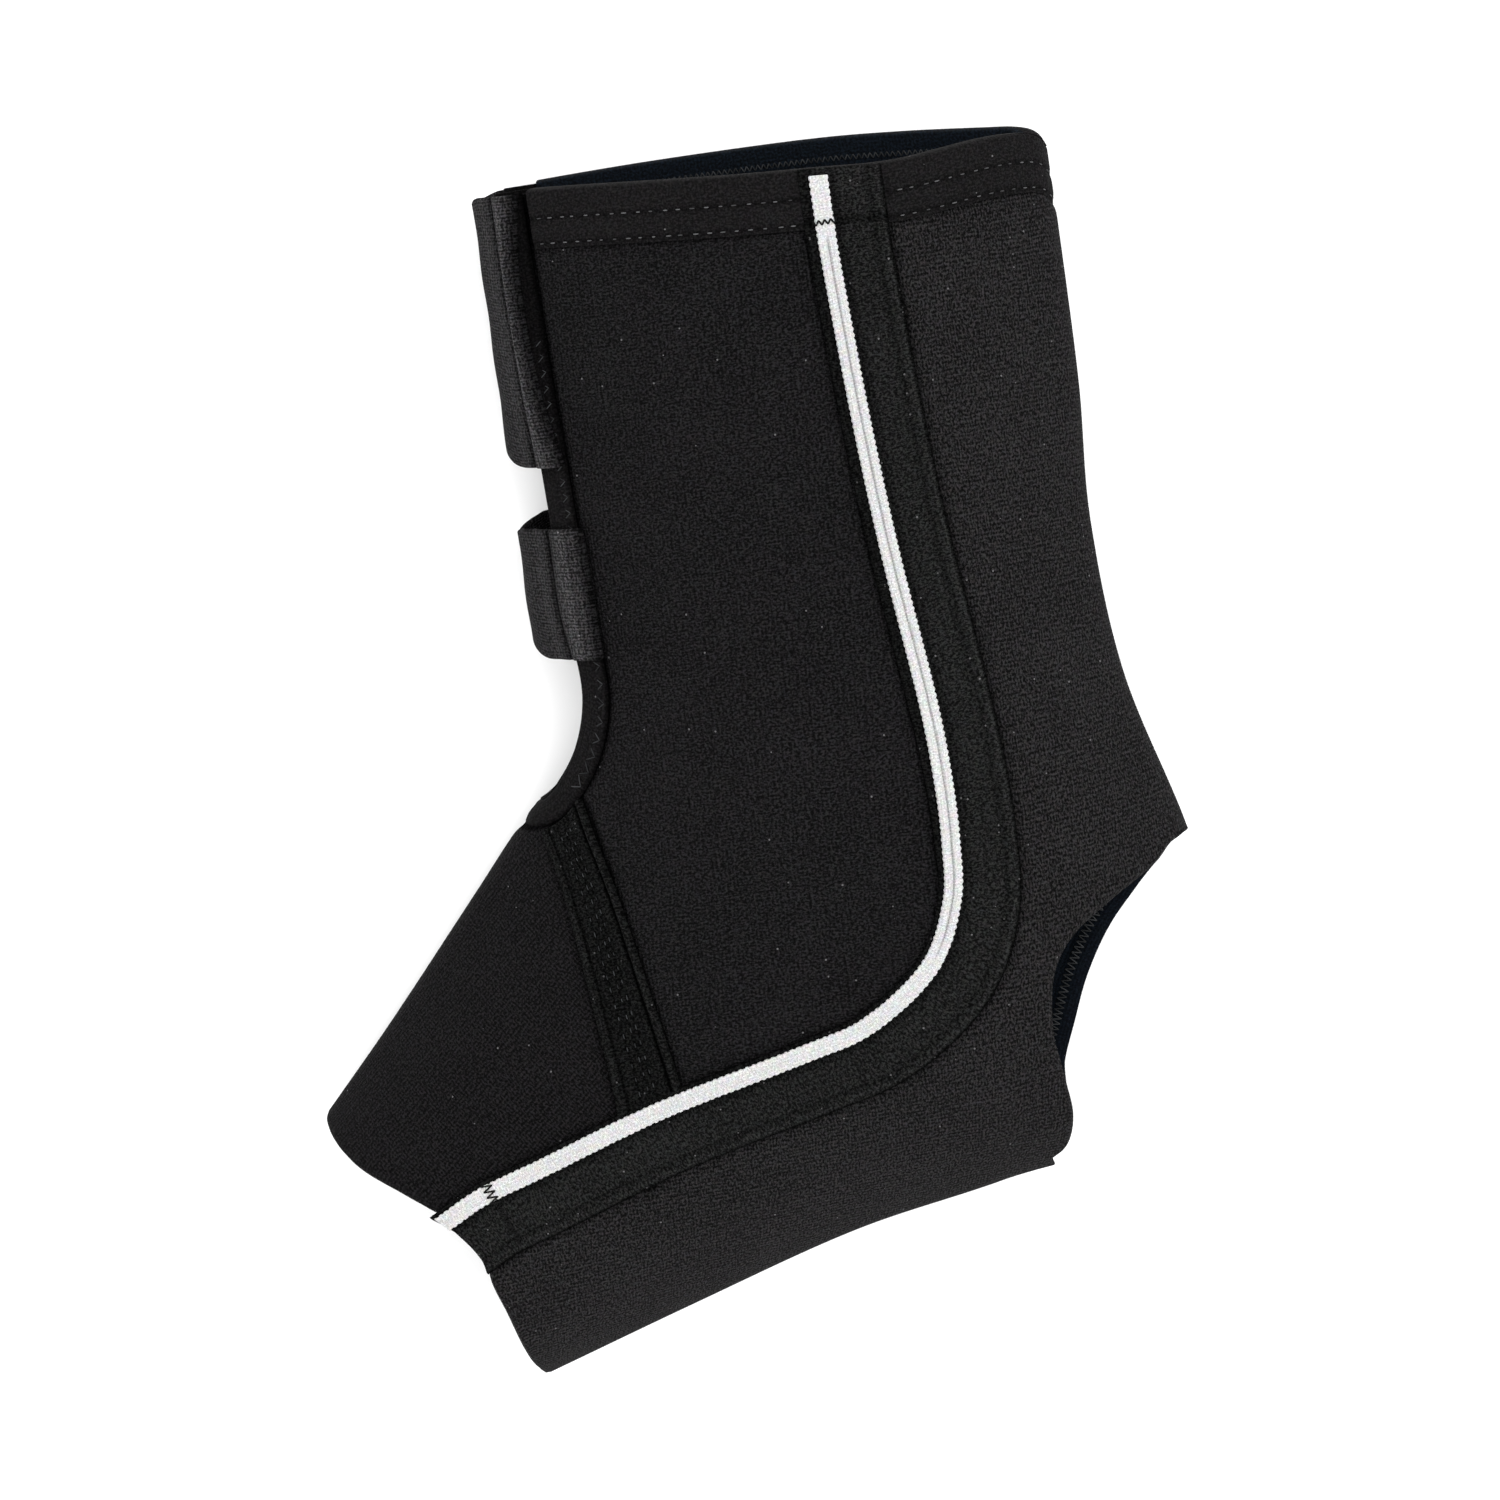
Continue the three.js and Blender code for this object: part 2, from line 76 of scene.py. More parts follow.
sight = Vector((math.tan(VIEW_LEAN), math.tan(VIEW_TILT), 1)).normalized()
rightward = Vector((0, 1, 0)).cross(sight).normalized()
axes = Matrix.Rotation(LEG_TURN, 3, "Z") @ Matrix((rightward, sight.cross(rightward), sight)).transposed()
pixels_long = PHOTO_SIZE * LENS_LENGTH / SENSOR_WIDTH
beside_ankle = Vector((
    (PHOTO_SIZE / 2 - ANKLE_PIXEL[0]) / pixels_long * CAMERA_RISE,
    (ANKLE_PIXEL[1] - PHOTO_SIZE / 2) / pixels_long * CAMERA_RISE,
    CAMERA_RISE,
))
ankle = Vector((0, 0, ANKLE_HEIGHT))
camera_data = bpy.data.cameras.new("camera")
camera_data.lens = LENS_LENGTH
camera_data.sensor_width = SENSOR_WIDTH
camera = bpy.data.objects.new("camera", camera_data)
camera.matrix_world = Matrix.Translation(Vector(to_frame(ankle + axes @ beside_ankle))) @ axes.to_4x4()
bpy.context.collection.objects.link(camera)
bpy.context.scene.camera = camera

# A white table top in an evenly lit white room, with one wide soft lamp above the heel and another,
# weaker one above the toes. Whites are kept white by the plain view transform.
TABLE_SIZE = 8
TABLE_WHITE = 0.95
ROOM_LIGHT = 1.55
LAMPS = [
    {"name": "heel_lamp", "place": (0.9, 0.5, 1.3), "size": 1.1, "power": 16},
    {"name": "toe_lamp", "place": (-1.0, -0.6, 1.2), "size": 1.2, "power": 5},
]

bpy.context.scene.view_settings.view_transform = "Standard"
room = bpy.data.worlds.new("room")
room.use_nodes = True
room.node_tree.nodes["Background"].inputs["Color"].default_value = (1, 1, 1, 1)
room.node_tree.nodes["Background"].inputs["Strength"].default_value = ROOM_LIGHT
bpy.context.scene.world = room

for lamp in LAMPS:
    light = bpy.data.lights.new(lamp["name"], "AREA")
    light.size = lamp["size"]
    light.energy = lamp["power"]
    light_object = bpy.data.objects.new(lamp["name"], light)
    light_object.location = lamp["place"]
    light_object.rotation_euler = Vector(lamp["place"]).to_track_quat("Z", "Y").to_euler()
    bpy.context.collection.objects.link(light_object)

table_mesh = bpy.data.meshes.new("table_top")
table_corner = TABLE_SIZE / 2
table_mesh.from_pydata([
    (-table_corner, -table_corner, 0),
    (table_corner, -table_corner, 0),
    (table_corner, table_corner, 0),
    (-table_corner, table_corner, 0),
], [], [(0, 1, 2, 3)])
table_top = bpy.data.objects.new("table_top", table_mesh)
bpy.context.collection.objects.link(table_top)
table_paint = bpy.data.materials.new("table_white")
table_paint.use_nodes = True
table_surface = table_paint.node_tree.nodes["Principled BSDF"]
table_surface.inputs["Base Color"].default_value = (TABLE_WHITE, TABLE_WHITE, TABLE_WHITE, 1)
table_surface.inputs["Roughness"].default_value = 0.9
table_mesh.materials.append(table_paint)

# Foam panels: 4 mm foam with dark knit on both faces, cut flat and sewn edge to edge into a sleeve.
# The sleeve lies flat on its far wall, and its near wall arches over in one broad curve. Two side
# panels, a forefoot panel round the instep, and a back panel that is open at the heel.
LEG_WIDTH = 123.4
LEG_HEIGHT = 142
FOOT_REACH = 132
FOOT_DROP = 122
HEEL_REACH = 75.5
ANKLE_LOFT = 45
FOLD_RADIUS = 9
FLOOR_LIFT = 2.6
FOAM_WALL = 4
SEAM_TAPE_BACK = 14.6
SEAM_TAPE_FRONT = -4
TAPE_BACK_TUCK = 1.7
TAPE_FRONT_TUCK = 1.5
TUCK_STATION = 4
TUCK_STATIONS = 2
PANEL_SEAM = 5.3
HEM_WIDTH = 12.5
HEM_PRESS = 1.2
HEM_PRESS_REACH = 0.16
BINDING_WIDTH = 6.8
INSTEP_TAPE_WIDTH = 15.5
INSTEP_TAPE_END_WIDTH = 8.5
SEAM_SINK = 0.8
INSTEP_SINK = 0.7
BINDING_SINK = 0.6
HEM_SINK = 0.6
SINK_REACH = 1.1
EDGE_ROUND = 1.5
HIDDEN_ROUND = 0.1
INSTEP_SWELL = 2.6
SWELL_STATION = 6.1
SWELL_ABOVE = 0.75
SWELL_BELOW = 2.8
SWELL_ON_FAR = 0.12
SWELL_ON_NEAR = 0.3
SLACK = 0.014
SLACK_WAVES = [
    {"along_x": 0.043, "along_y": 0.031, "phase": 0.4},
    {"along_x": -0.027, "along_y": 0.062, "phase": 2.1},
    {"along_x": 0.071, "along_y": -0.024, "phase": 4.0},
]

# Sections across the leg and the foot, from the rim to the toes: front fold, back fold and height
LEG_SECTIONS = [
    (-0.521, 1.07, 0.475, 1.07, 0.82),
    (-0.522, 0.845, 0.478, 0.845, 0.82),
    (-0.524, 0.592, 0.478, 0.592, 0.82),
    (-0.528, 0.366, 0.467, 0.38, 0.845),
    (-0.528, 0.211, 0.49, 0.141, 0.89),
]
FOOT_SECTIONS = [
    (-0.505, 0.119, 0.922, -0.12, 0.955),
    (-0.533, 0.039, 1, -0.377, 1),
    (-0.568, 0.004, 0.742, -0.648, 0.98),
    (-0.617, -0.049, 0.265, -0.725, 0.935),
    (-0.723, -0.172, -0.106, -0.784, 0.87),
    (-0.852, -0.324, -0.394, -0.884, 0.82),
    (-0.996, -0.488, -0.697, -0.996, 0.8),
]
# Edges and seams, as pairs of a station (a place between two sections) and a share across, from -1 at
# the front fold to 1 at the back fold
RIM_NEAR = [
    (0.37, -1.35), (0.36, -0.9), (0.39, -0.4), (0.44, 0.16), (0.49, 0.5), (0.45, 0.8),
    (0.455, 0.9), (0.47, 0.95), (0.5, 0.98), (0.55, 1), (0.58, 1.01),
]
RIM_FAR = [
    (0.355, -1.35), (0.315, -0.9), (0.285, -0.4), (0.285, 0.16), (0.32, 0.5), (0.375, 0.8),
    (0.395, 0.9), (0.42, 0.95), (0.465, 0.98), (0.545, 1), (0.58, 1.01),
]
TOE_NEAR = [
    (10.6, -1.35), (10.81, -1), (10.78, -0.77), (10.61, -0.45), (10.5, -0.15), (10.495, 0.11),
    (10.6, 0.3), (10.68, 0.5), (10.795, 0.75), (10.85, 0.88), (10.875, 0.95), (10.885, 0.98), (10.9, 1),
    (10.91, 1.01),
]
TOE_FAR = [
    (10.6, -1.35), (10.81, -1), (10.78, -0.77), (10.68, -0.45), (10.62, -0.15), (10.62, 0.11),
    (10.66, 0.3), (10.7, 0.5), (10.795, 0.75), (10.85, 0.88), (10.875, 0.95), (10.885, 0.98), (10.9, 1),
    (10.91, 1.01),
]
HEEL_NEAR = [
    (4.94, 1.25), (5.03, 1), (5.21, 0.88), (5.49, 0.71), (5.84, 0.574), (6.21, 0.53), (6.6, 0.578),
    (6.9, 0.685), (7.15, 0.8), (7.42, 0.915), (7.68, 1), (7.78, 1.2),
]
HEEL_FAR = [
    (4.94, 1.25), (5.04, 1), (5.28, 0.885), (5.58, 0.76), (5.93, 0.66), (6.3, 0.622), (6.63, 0.638),
    (6.96, 0.69), (7.24, 0.8), (7.48, 0.912), (7.7, 1), (7.78, 1.2),
]
SLIT_EDGE = [
    (0, -0.91), (0.8, -0.904), (1.6, -0.892), (2.4, -0.872), (3, -0.868), (3.6, -0.842), (4, -0.85),
    (4.46, -0.89), (5, -0.948), (5.6, -1), (6.1, -1.09),
]
SIDE_SEAM = [
    (0, 0.222), (0.8, 0.218), (1.5, 0.234), (2.2, 0.262), (3, 0.309), (4, 0.335), (4.6, 0.3),
    (5.12, 0.26), (5.7, 0.207), (6.34, 0.166), (7, 0.104), (7.65, 0.088), (8.84, 0.018), (9.74, -0.077),
    (10.18, -0.143), (10.5, -0.16), (10.98, -0.2),
]
INSTEP_SEAM = [(5.25, -1.12), (5.5, -0.94), (8.8, -0.058), (9.3, 0.14)]

# The back fold of a foot's section lies behind the ankle at a share of the heel's reach, and in front of
# it at a share of the foot's
leg_sections = np.array(LEG_SECTIONS) * [LEG_WIDTH, LEG_HEIGHT, LEG_WIDTH, LEG_HEIGHT, ANKLE_LOFT]
foot_sections = np.array(FOOT_SECTIONS) * [FOOT_REACH, FOOT_DROP, 1, FOOT_DROP, ANKLE_LOFT]
foot_sections[:, 2] *= np.where(foot_sections[:, 2] < 0, FOOT_REACH, HEEL_REACH)
sections = np.concatenate([leg_sections, foot_sections])
LAST_STATION = len(sections) - 1

# Edges are ruled over this height, from stations in their middle. The panels' nets run from the first row
# to the last one and blend into the edges over some stations.
RULED_HEIGHT = ANKLE_LOFT * 0.75
RIM_STATION = 0.38
TOE_STATION = 10.75
FIRST_ROW = 0.4
LAST_ROW = 10.7
BLEND_STATIONS = 1.3
RIM_COVER = 0.03
TOE_CORNER_STATION = 10.68

# Millimetres that a station measures on the leg, over the instep and at the sole, and that a unit of girth
# measures at the heel
LEG_STATION = 33
INSTEP_STATION = 24
SOLE_STATION = 30
HEEL_GIRTH = 62


def smooth_rows(table, place):
    """Rows between a table's rows: the cubic through four neighbours whose slope at each row is half the
    difference of the rows beside it, with the end rows mirrored."""
    table = np.asarray(table, float)
    place = np.asarray(place, float)
    padded = np.vstack([2 * table[0] - table[1], table, 2 * table[-1] - table[-2]])
    row = np.clip(np.floor(place).astype(int), 0, len(table) - 2)
    w = (place - row)[..., None]
    a, b, c, d = padded[row], padded[row + 1], padded[row + 2], padded[row + 3]
    return 0.5 * (2 * b + (c - a) * w + (2 * a - 5 * b + 4 * c - d) * w**2 + (3 * b - a - 3 * c + d) * w**3)


def section(station):
    """The sleeve's section at a station: the middle of its plan line, the direction to the back, half its
    width, the half width between its fold centres, its height, the radius of the arc over the top, and
    the angle at which that arc meets the fold's arc, which it touches without a corner."""
    row = smooth_rows(sections, np.clip(station, 0, LAST_STATION))
    front, back, rise = row[..., 0:2], row[..., 2:4], row[..., 4]
    half = np.linalg.norm(back - front, axis=-1) / 2
    side = half - FOLD_RADIUS
    crown = (side**2 + rise**2 - 2 * rise * FOLD_RADIUS) / (2 * rise - 4 * FOLD_RADIUS)
    meet = np.arcsin(side / (crown - FOLD_RADIUS))
    return (front + back) / 2, (back - front) / (2 * half[..., None]), half, side, rise, crown, meet


def outline(station, girth, out):
    """Place across and height of a point of a section. The girth is 0 over the middle of the near wall,
    1 at the back fold, -1 at the front fold and 2 or -2 under the middle of the far wall. The point is
    at that share of the arc over the top, the fold's arc and the flat bottom, a distance out of the foam."""
    _, _, _, side, rise, crown, meet = section(station)
    near_length = crown * meet + FOLD_RADIUS * (np.pi / 2 - meet)
    far_length = FOLD_RADIUS * np.pi / 2 + side
    girth = (girth + 2) % 4 - 2
    reach = np.abs(girth)
    length = np.minimum(reach, 1) * near_length + np.maximum(reach - 1, 0) * far_length
    over = length / crown
    bend = meet + (length - crown * meet) / FOLD_RADIUS
    on_top = length < crown * meet
    on_floor = bend > np.pi
    turned = np.minimum(bend, np.pi)
    across = np.where(on_top, (crown + out) * np.sin(over), side + (FOLD_RADIUS + out) * np.sin(turned))
    across = np.where(on_floor, side - (bend - np.pi) * FOLD_RADIUS, across)
    height = np.where(on_top, rise - crown + (crown + out) * np.cos(over),
                      FOLD_RADIUS + (FOLD_RADIUS + out) * np.cos(turned))
    return across * np.where(girth < 0, -1, 1), height


def on_sleeve(station, girth, out):
    """Points of the sleeve in drawing millimetres, a distance out of the foam's outer face. The front fold
    swells over the instep as a bell curve, which is narrower on the far wall. Three slow waves over the
    plan scale the heights, so the cloth's slack shows and the far wall stays flat."""
    station, girth, out = np.broadcast_arrays(np.asarray(station, float), girth, out)
    middle, to_back = section(station)[:2]
    from_fold = (girth + 2) % 4 - 1
    above = station < SWELL_STATION
    past_middle = (station - SWELL_STATION) / np.where(above, SWELL_ABOVE, SWELL_BELOW)
    reach = np.where(from_fold < 0, SWELL_ON_FAR, SWELL_ON_NEAR)
    swelling = INSTEP_SWELL * np.exp(-(from_fold / reach)**2 - past_middle**2)
    across, height = outline(station, girth, out + swelling)
    plan = middle + to_back * across[..., None]
    wave = sum(
        np.sin(plan[..., 0] * slow["along_x"] + plan[..., 1] * slow["along_y"] + slow["phase"])
        for slow in SLACK_WAVES
    )
    return np.concatenate([plan, (FLOOR_LIFT + height * (1 + SLACK * wave / 2))[..., None]], axis=-1)


def girth_at(station, across, wall, fold, out=0.0):
    """The girth of the place at a share across, on the near wall (1) or the far wall (-1), for a layer a
    distance out of the foam. It is the inverse of the outline. On the far wall it is counted on from the
    front fold (-1) or the back (1)."""
    _, _, half, side, _, crown, meet = section(station)
    near_length = crown * meet + FOLD_RADIUS * (np.pi / 2 - meet)
    far_length = FOLD_RADIUS * np.pi / 2 + side
    reach = np.minimum(np.abs(across), 1) * half
    bend = np.arcsin(np.clip((reach - side) / (FOLD_RADIUS + out), 0, 1))
    on_top = reach < (crown + out) * np.sin(meet)
    over = crown * np.arcsin(np.minimum(reach / (crown + out), 1))
    near = np.where(on_top, over, crown * meet + FOLD_RADIUS * (bend - meet)) / near_length
    beyond = np.where(reach < side, side - reach + FOLD_RADIUS * np.pi / 2, FOLD_RADIUS * (np.pi / 2 - bend))
    far = 1 + beyond / far_length
    sign = np.where(across < 0, -1, 1)
    if wall > 0:
        return sign * near
    return np.where(sign == fold, fold * far, fold * (4 - far))


def plan_point(station, across):
    """A plan point: the section's middle, moved along its plan line by a share of its half width."""
    middle, to_back, half = section(station)[:3]
    return middle + to_back * (np.asarray(across) * half)[..., None]


def locate(plan):
    """Station and share across of plan points. The station is halved in on: a point lies on one side of
    the section's plan line before it and on the other side after it."""
    low = np.zeros(plan.shape[:-1])
    high = np.full(plan.shape[:-1], float(LAST_STATION))
    for _ in range(34):
        station = (low + high) / 2
        middle, to_back = section(station)[:2]
        away = plan - middle
        before = away[..., 0] * to_back[..., 1] - away[..., 1] * to_back[..., 0] > 0
        low = np.where(before, station, low)
        high = np.where(before, high, station)
    middle, to_back, half = section(station)[:3]
    return station, ((plan - middle) * to_back).sum(-1) / half


def steps_of(line):
    """The distances between neighbouring points of a line."""
    return np.linalg.norm(np.diff(line, axis=0), axis=1)


def passed_along(line):
    """The length passed at each point of a line: the running sum of its steps."""
    return np.concatenate([[0], np.cumsum(steps_of(line))])


def plan_path(table, spacing=0.5):
    """A smooth plan line through a table's places, as points an even distance apart."""
    table = np.asarray(table)
    dense = smooth_rows(plan_point(table[:, 0], table[:, 1]), np.linspace(0, len(table) - 1, 60 * len(table)))
    passed = passed_along(dense)
    even = np.linspace(0, passed[-1], int(passed[-1] / spacing) + 1)
    return np.stack([np.interp(even, passed, dense[:, 0]), np.interp(even, passed, dense[:, 1])], axis=1)


def leftward(path):
    """Unit directions to the left of a plan path, seen from above: its tangent turned a quarter."""
    along = np.gradient(path, axis=0)
    along /= np.linalg.norm(along, axis=1)[:, None]
    return np.stack([-along[:, 1], along[:, 0]], axis=1)


def nearest_on(line, points):
    """The index of the line's nearest point, for each point."""
    return np.concatenate([
        ((part[:, None] - line[None])**2).sum(-1).argmin(1)
        for part in np.array_split(points, 1 + len(points) // 4000)
    ])


def beside_path(path, plan):
    """Signed distance of plan points from a path, which is the distance to its nearest point and is above
    0 on the left, and the share of the path passed at that point."""
    nearest = nearest_on(path, plan.reshape(-1, 2))
    away = plan.reshape(-1, 2) - path[nearest]
    distance = np.sign((away * leftward(path)[nearest]).sum(1)) * np.linalg.norm(away, axis=1)
    return distance.reshape(plan.shape[:-1]), (nearest / len(path)).reshape(plan.shape[:-1])


def edge_curve(table):
    """A table's smooth curve, as 40 rows for each row of the table."""
    return smooth_rows(table, np.linspace(0, len(table) - 1, 40 * len(table)))


def ruled_station(near_edge, far_edge, girth, guess):
    """Station of an edge that is ruled between its curve on the far wall and its curve on the near wall,
    in proportion to the height of the place."""
    across, height = outline(guess, girth, 0)
    share = across / section(guess)[2]
    near = np.interp(share, near_edge[:, 1], near_edge[:, 0])
    far = np.interp(share, far_edge[:, 1], far_edge[:, 0])
    return far + (near - far) * height / RULED_HEIGHT


rim_edges = (edge_curve(RIM_NEAR), edge_curve(RIM_FAR))
toe_edges = (edge_curve(TOE_NEAR), edge_curve(TOE_FAR))
side_seam = plan_path(SIDE_SEAM)
slit_edge = plan_path(SLIT_EDGE)
instep_seam = plan_path(INSTEP_SEAM)


def rim_station(girth):
    """Station of the rim at a girth, ruled between its two curves."""
    return ruled_station(*rim_edges, girth, np.full(np.shape(girth), RIM_STATION))


def toe_station(girth):
    """Station of the toe edge at a girth, ruled between its two curves."""
    return ruled_station(*toe_edges, girth, np.full(np.shape(girth), TOE_STATION))


def millimetres_a_station(station, girth):
    """Length of a station's step along the sleeve at a place, from a small step both ways."""
    step = on_sleeve(station + 0.02, girth, 0) - on_sleeve(station - 0.02, girth, 0)
    return np.linalg.norm(step, axis=-1) / 0.04


def line_on_wall(path, wall, fold, offset=0):
    """Stations and girths of a plan line, moved to its left by an offset, as long as it is on the wall."""
    station, across = locate(path + leftward(path) * offset)
    inside = np.abs(across) < 1
    return station[inside], girth_at(station, across, wall, fold)[inside]


def net_quads(rows, columns, closed=False):
    """Quads between neighbouring rows and columns of a net. In a closed net the last row is joined to the
    first."""
    index = np.arange(rows * columns).reshape(rows, columns)
    if closed:
        index = np.concatenate([index, index[:1]])
    corners = (index[:-1, :-1], index[1:, :-1], index[1:, 1:], index[:-1, 1:])
    return np.stack(corners, axis=-1).reshape(-1, 4)


def shell(outer, inner, quads, roundness, steps=4):
    """A closed wall between two faces of the same net. Each open edge is closed by a half round: it goes
    from the outer to the inner face as a cosine and bulges outwards as a sine. Returns points, quads and,
    for each point, the net's point that it belongs to; the quads start with the outer face's."""
    count = len(outer)
    normal = np.cross(outer[quads[:, 2]] - outer[quads[:, 0]], outer[quads[:, 3]] - outer[quads[:, 1]])
    if (normal * (outer - inner)[quads[:, 0]]).sum() < 0:
        quads = quads[:, ::-1]
    edges = np.concatenate([quads[:, [i, (i + 1) % 4]] for i in range(4)])
    ends = np.sort(edges, axis=1)
    _, first, uses = np.unique(ends[:, 0] * count + ends[:, 1], return_index=True, return_counts=True)
    open_edges = edges[first[uses == 1]]
    away = np.zeros_like(outer)
    across = np.cross(outer[open_edges[:, 1]] - outer[open_edges[:, 0]], (outer - inner)[open_edges[:, 0]])
    np.add.at(away, open_edges[:, 0], across)
    np.add.at(away, open_edges[:, 1], across)
    rim = np.unique(open_edges)
    away = away[rim] / np.linalg.norm(away[rim], axis=1)[:, None]
    bulge = np.broadcast_to(roundness, count)[rim][:, None]
    place_on_rim = np.zeros(count, int)
    place_on_rim[rim] = np.arange(len(rim))
    rings = []
    for step in range(1, steps):
        angle = np.pi * step / steps
        across_wall = (inner[rim] - outer[rim]) * (1 - math.cos(angle)) / 2
        rings.append(outer[rim] + across_wall + away * bulge * math.sin(angle))
    start, end = open_edges.T
    levels = [(start, end)]
    for step in range(steps - 1):
        first_of_ring = count + step * len(rim)
        levels.append((first_of_ring + place_on_rim[start], first_of_ring + place_on_rim[end]))
    inner_first = count + (steps - 1) * len(rim)
    levels.append((inner_first + start, inner_first + end))
    sides = [
        np.stack([upper[1], upper[0], lower[0], lower[1]], axis=1)
        for upper, lower in zip(levels[:-1], levels[1:])
    ]
    owner = np.concatenate([np.arange(count), np.tile(rim, steps - 1), np.arange(count)])
    return (
        np.concatenate([outer, *rings, inner]),
        np.concatenate([quads, *sides, quads[:, ::-1] + inner_first]),
        owner,
    )


def add_piece(name, points, quads, surface, materials, lined=None, shade=1.0):
    """Makes a smooth mesh object from drawing millimetres and quads. Its UV map is in metres along the
    cloth. Quads that are lined take the second material. The shade of each point multiplies its colour;
    it carries painted light and shade, and on some pieces an uneven or darker tone."""
    mesh = bpy.data.meshes.new(name)
    mesh.vertices.add(len(points))
    mesh.vertices.foreach_set("co", to_frame(points).ravel())
    mesh.loops.add(quads.size)
    mesh.loops.foreach_set("vertex_index", np.ascontiguousarray(quads).ravel())
    mesh.polygons.add(len(quads))
    mesh.polygons.foreach_set("loop_start", np.arange(0, quads.size, 4))
    mesh.polygons.foreach_set("use_smooth", np.ones(len(quads), bool))
    if lined is not None:
        mesh.polygons.foreach_set("material_index", lined.astype(int))
    uv_map = mesh.uv_layers.new(name="cloth")
    uv_map.data.foreach_set("uv", (np.asarray(surface)[quads.ravel()] / 1000).ravel())
    shades = mesh.attributes.new("shade", "FLOAT", "POINT")
    shades.data.foreach_set("value", np.clip(np.broadcast_to(shade, len(points)), 0.02, 2))
    for material in materials:
        mesh.materials.append(material)
    mesh.update(calc_edges=True)
    piece = bpy.data.objects.new(name, mesh)
    bpy.context.collection.objects.link(piece)
    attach(piece, "root")
    return piece


def unrolled(station, girth, fold):
    """Flat coordinates of the cloth: the plan point of a fold, moved along the section's plan line by the
    girth's length from that fold. With fold 0 it is unrolled from the middle of the near wall."""
    middle, to_back, half, side, _, crown, meet = section(station)
    near_length = crown * meet + FOLD_RADIUS * (np.pi / 2 - meet)
    far_length = FOLD_RADIUS * np.pi / 2 + side
    if fold == 0:
        wrapped = np.abs(girth) > 1
        far = np.where(girth < 0, -2 - girth, 2 - girth)
        return middle + to_back * np.where(wrapped, far * far_length, girth * near_length)[..., None]
    past = (girth * fold - 1) * fold
    length = np.where(np.abs(girth) <= 1, past * near_length, past * far_length)
    return middle + to_back * (fold * half + length)[..., None]


def node_kit(material):
    """Two functions that add a node to a material: one of any kind, with its settings and inputs, and one
    that gives a calculation's result. An input is a value or another node's output."""
    tree = material.node_tree

    def add(kind, settings=None, **inputs):
        """The new node. An input is named, or numbered after an underscore."""
        node = tree.nodes.new(kind)
        for key, value in (settings or {}).items():
            setattr(node, key, value)
        for key, value in inputs.items():
            socket = node.inputs[int(key[1:])] if key[0] == "_" else node.inputs[key.replace("_", " ")]
            if isinstance(value, bpy.types.NodeSocket):
                tree.links.new(value, socket)
            else:
                socket.default_value = value
        return node

    def calculate(operation, *values):
        """The output of the operation on the values."""
        inputs = {f"_{index}": value for index, value in enumerate(values)}
        return add("ShaderNodeMath", {"operation": operation}, **inputs).outputs[0]

    return add, calculate


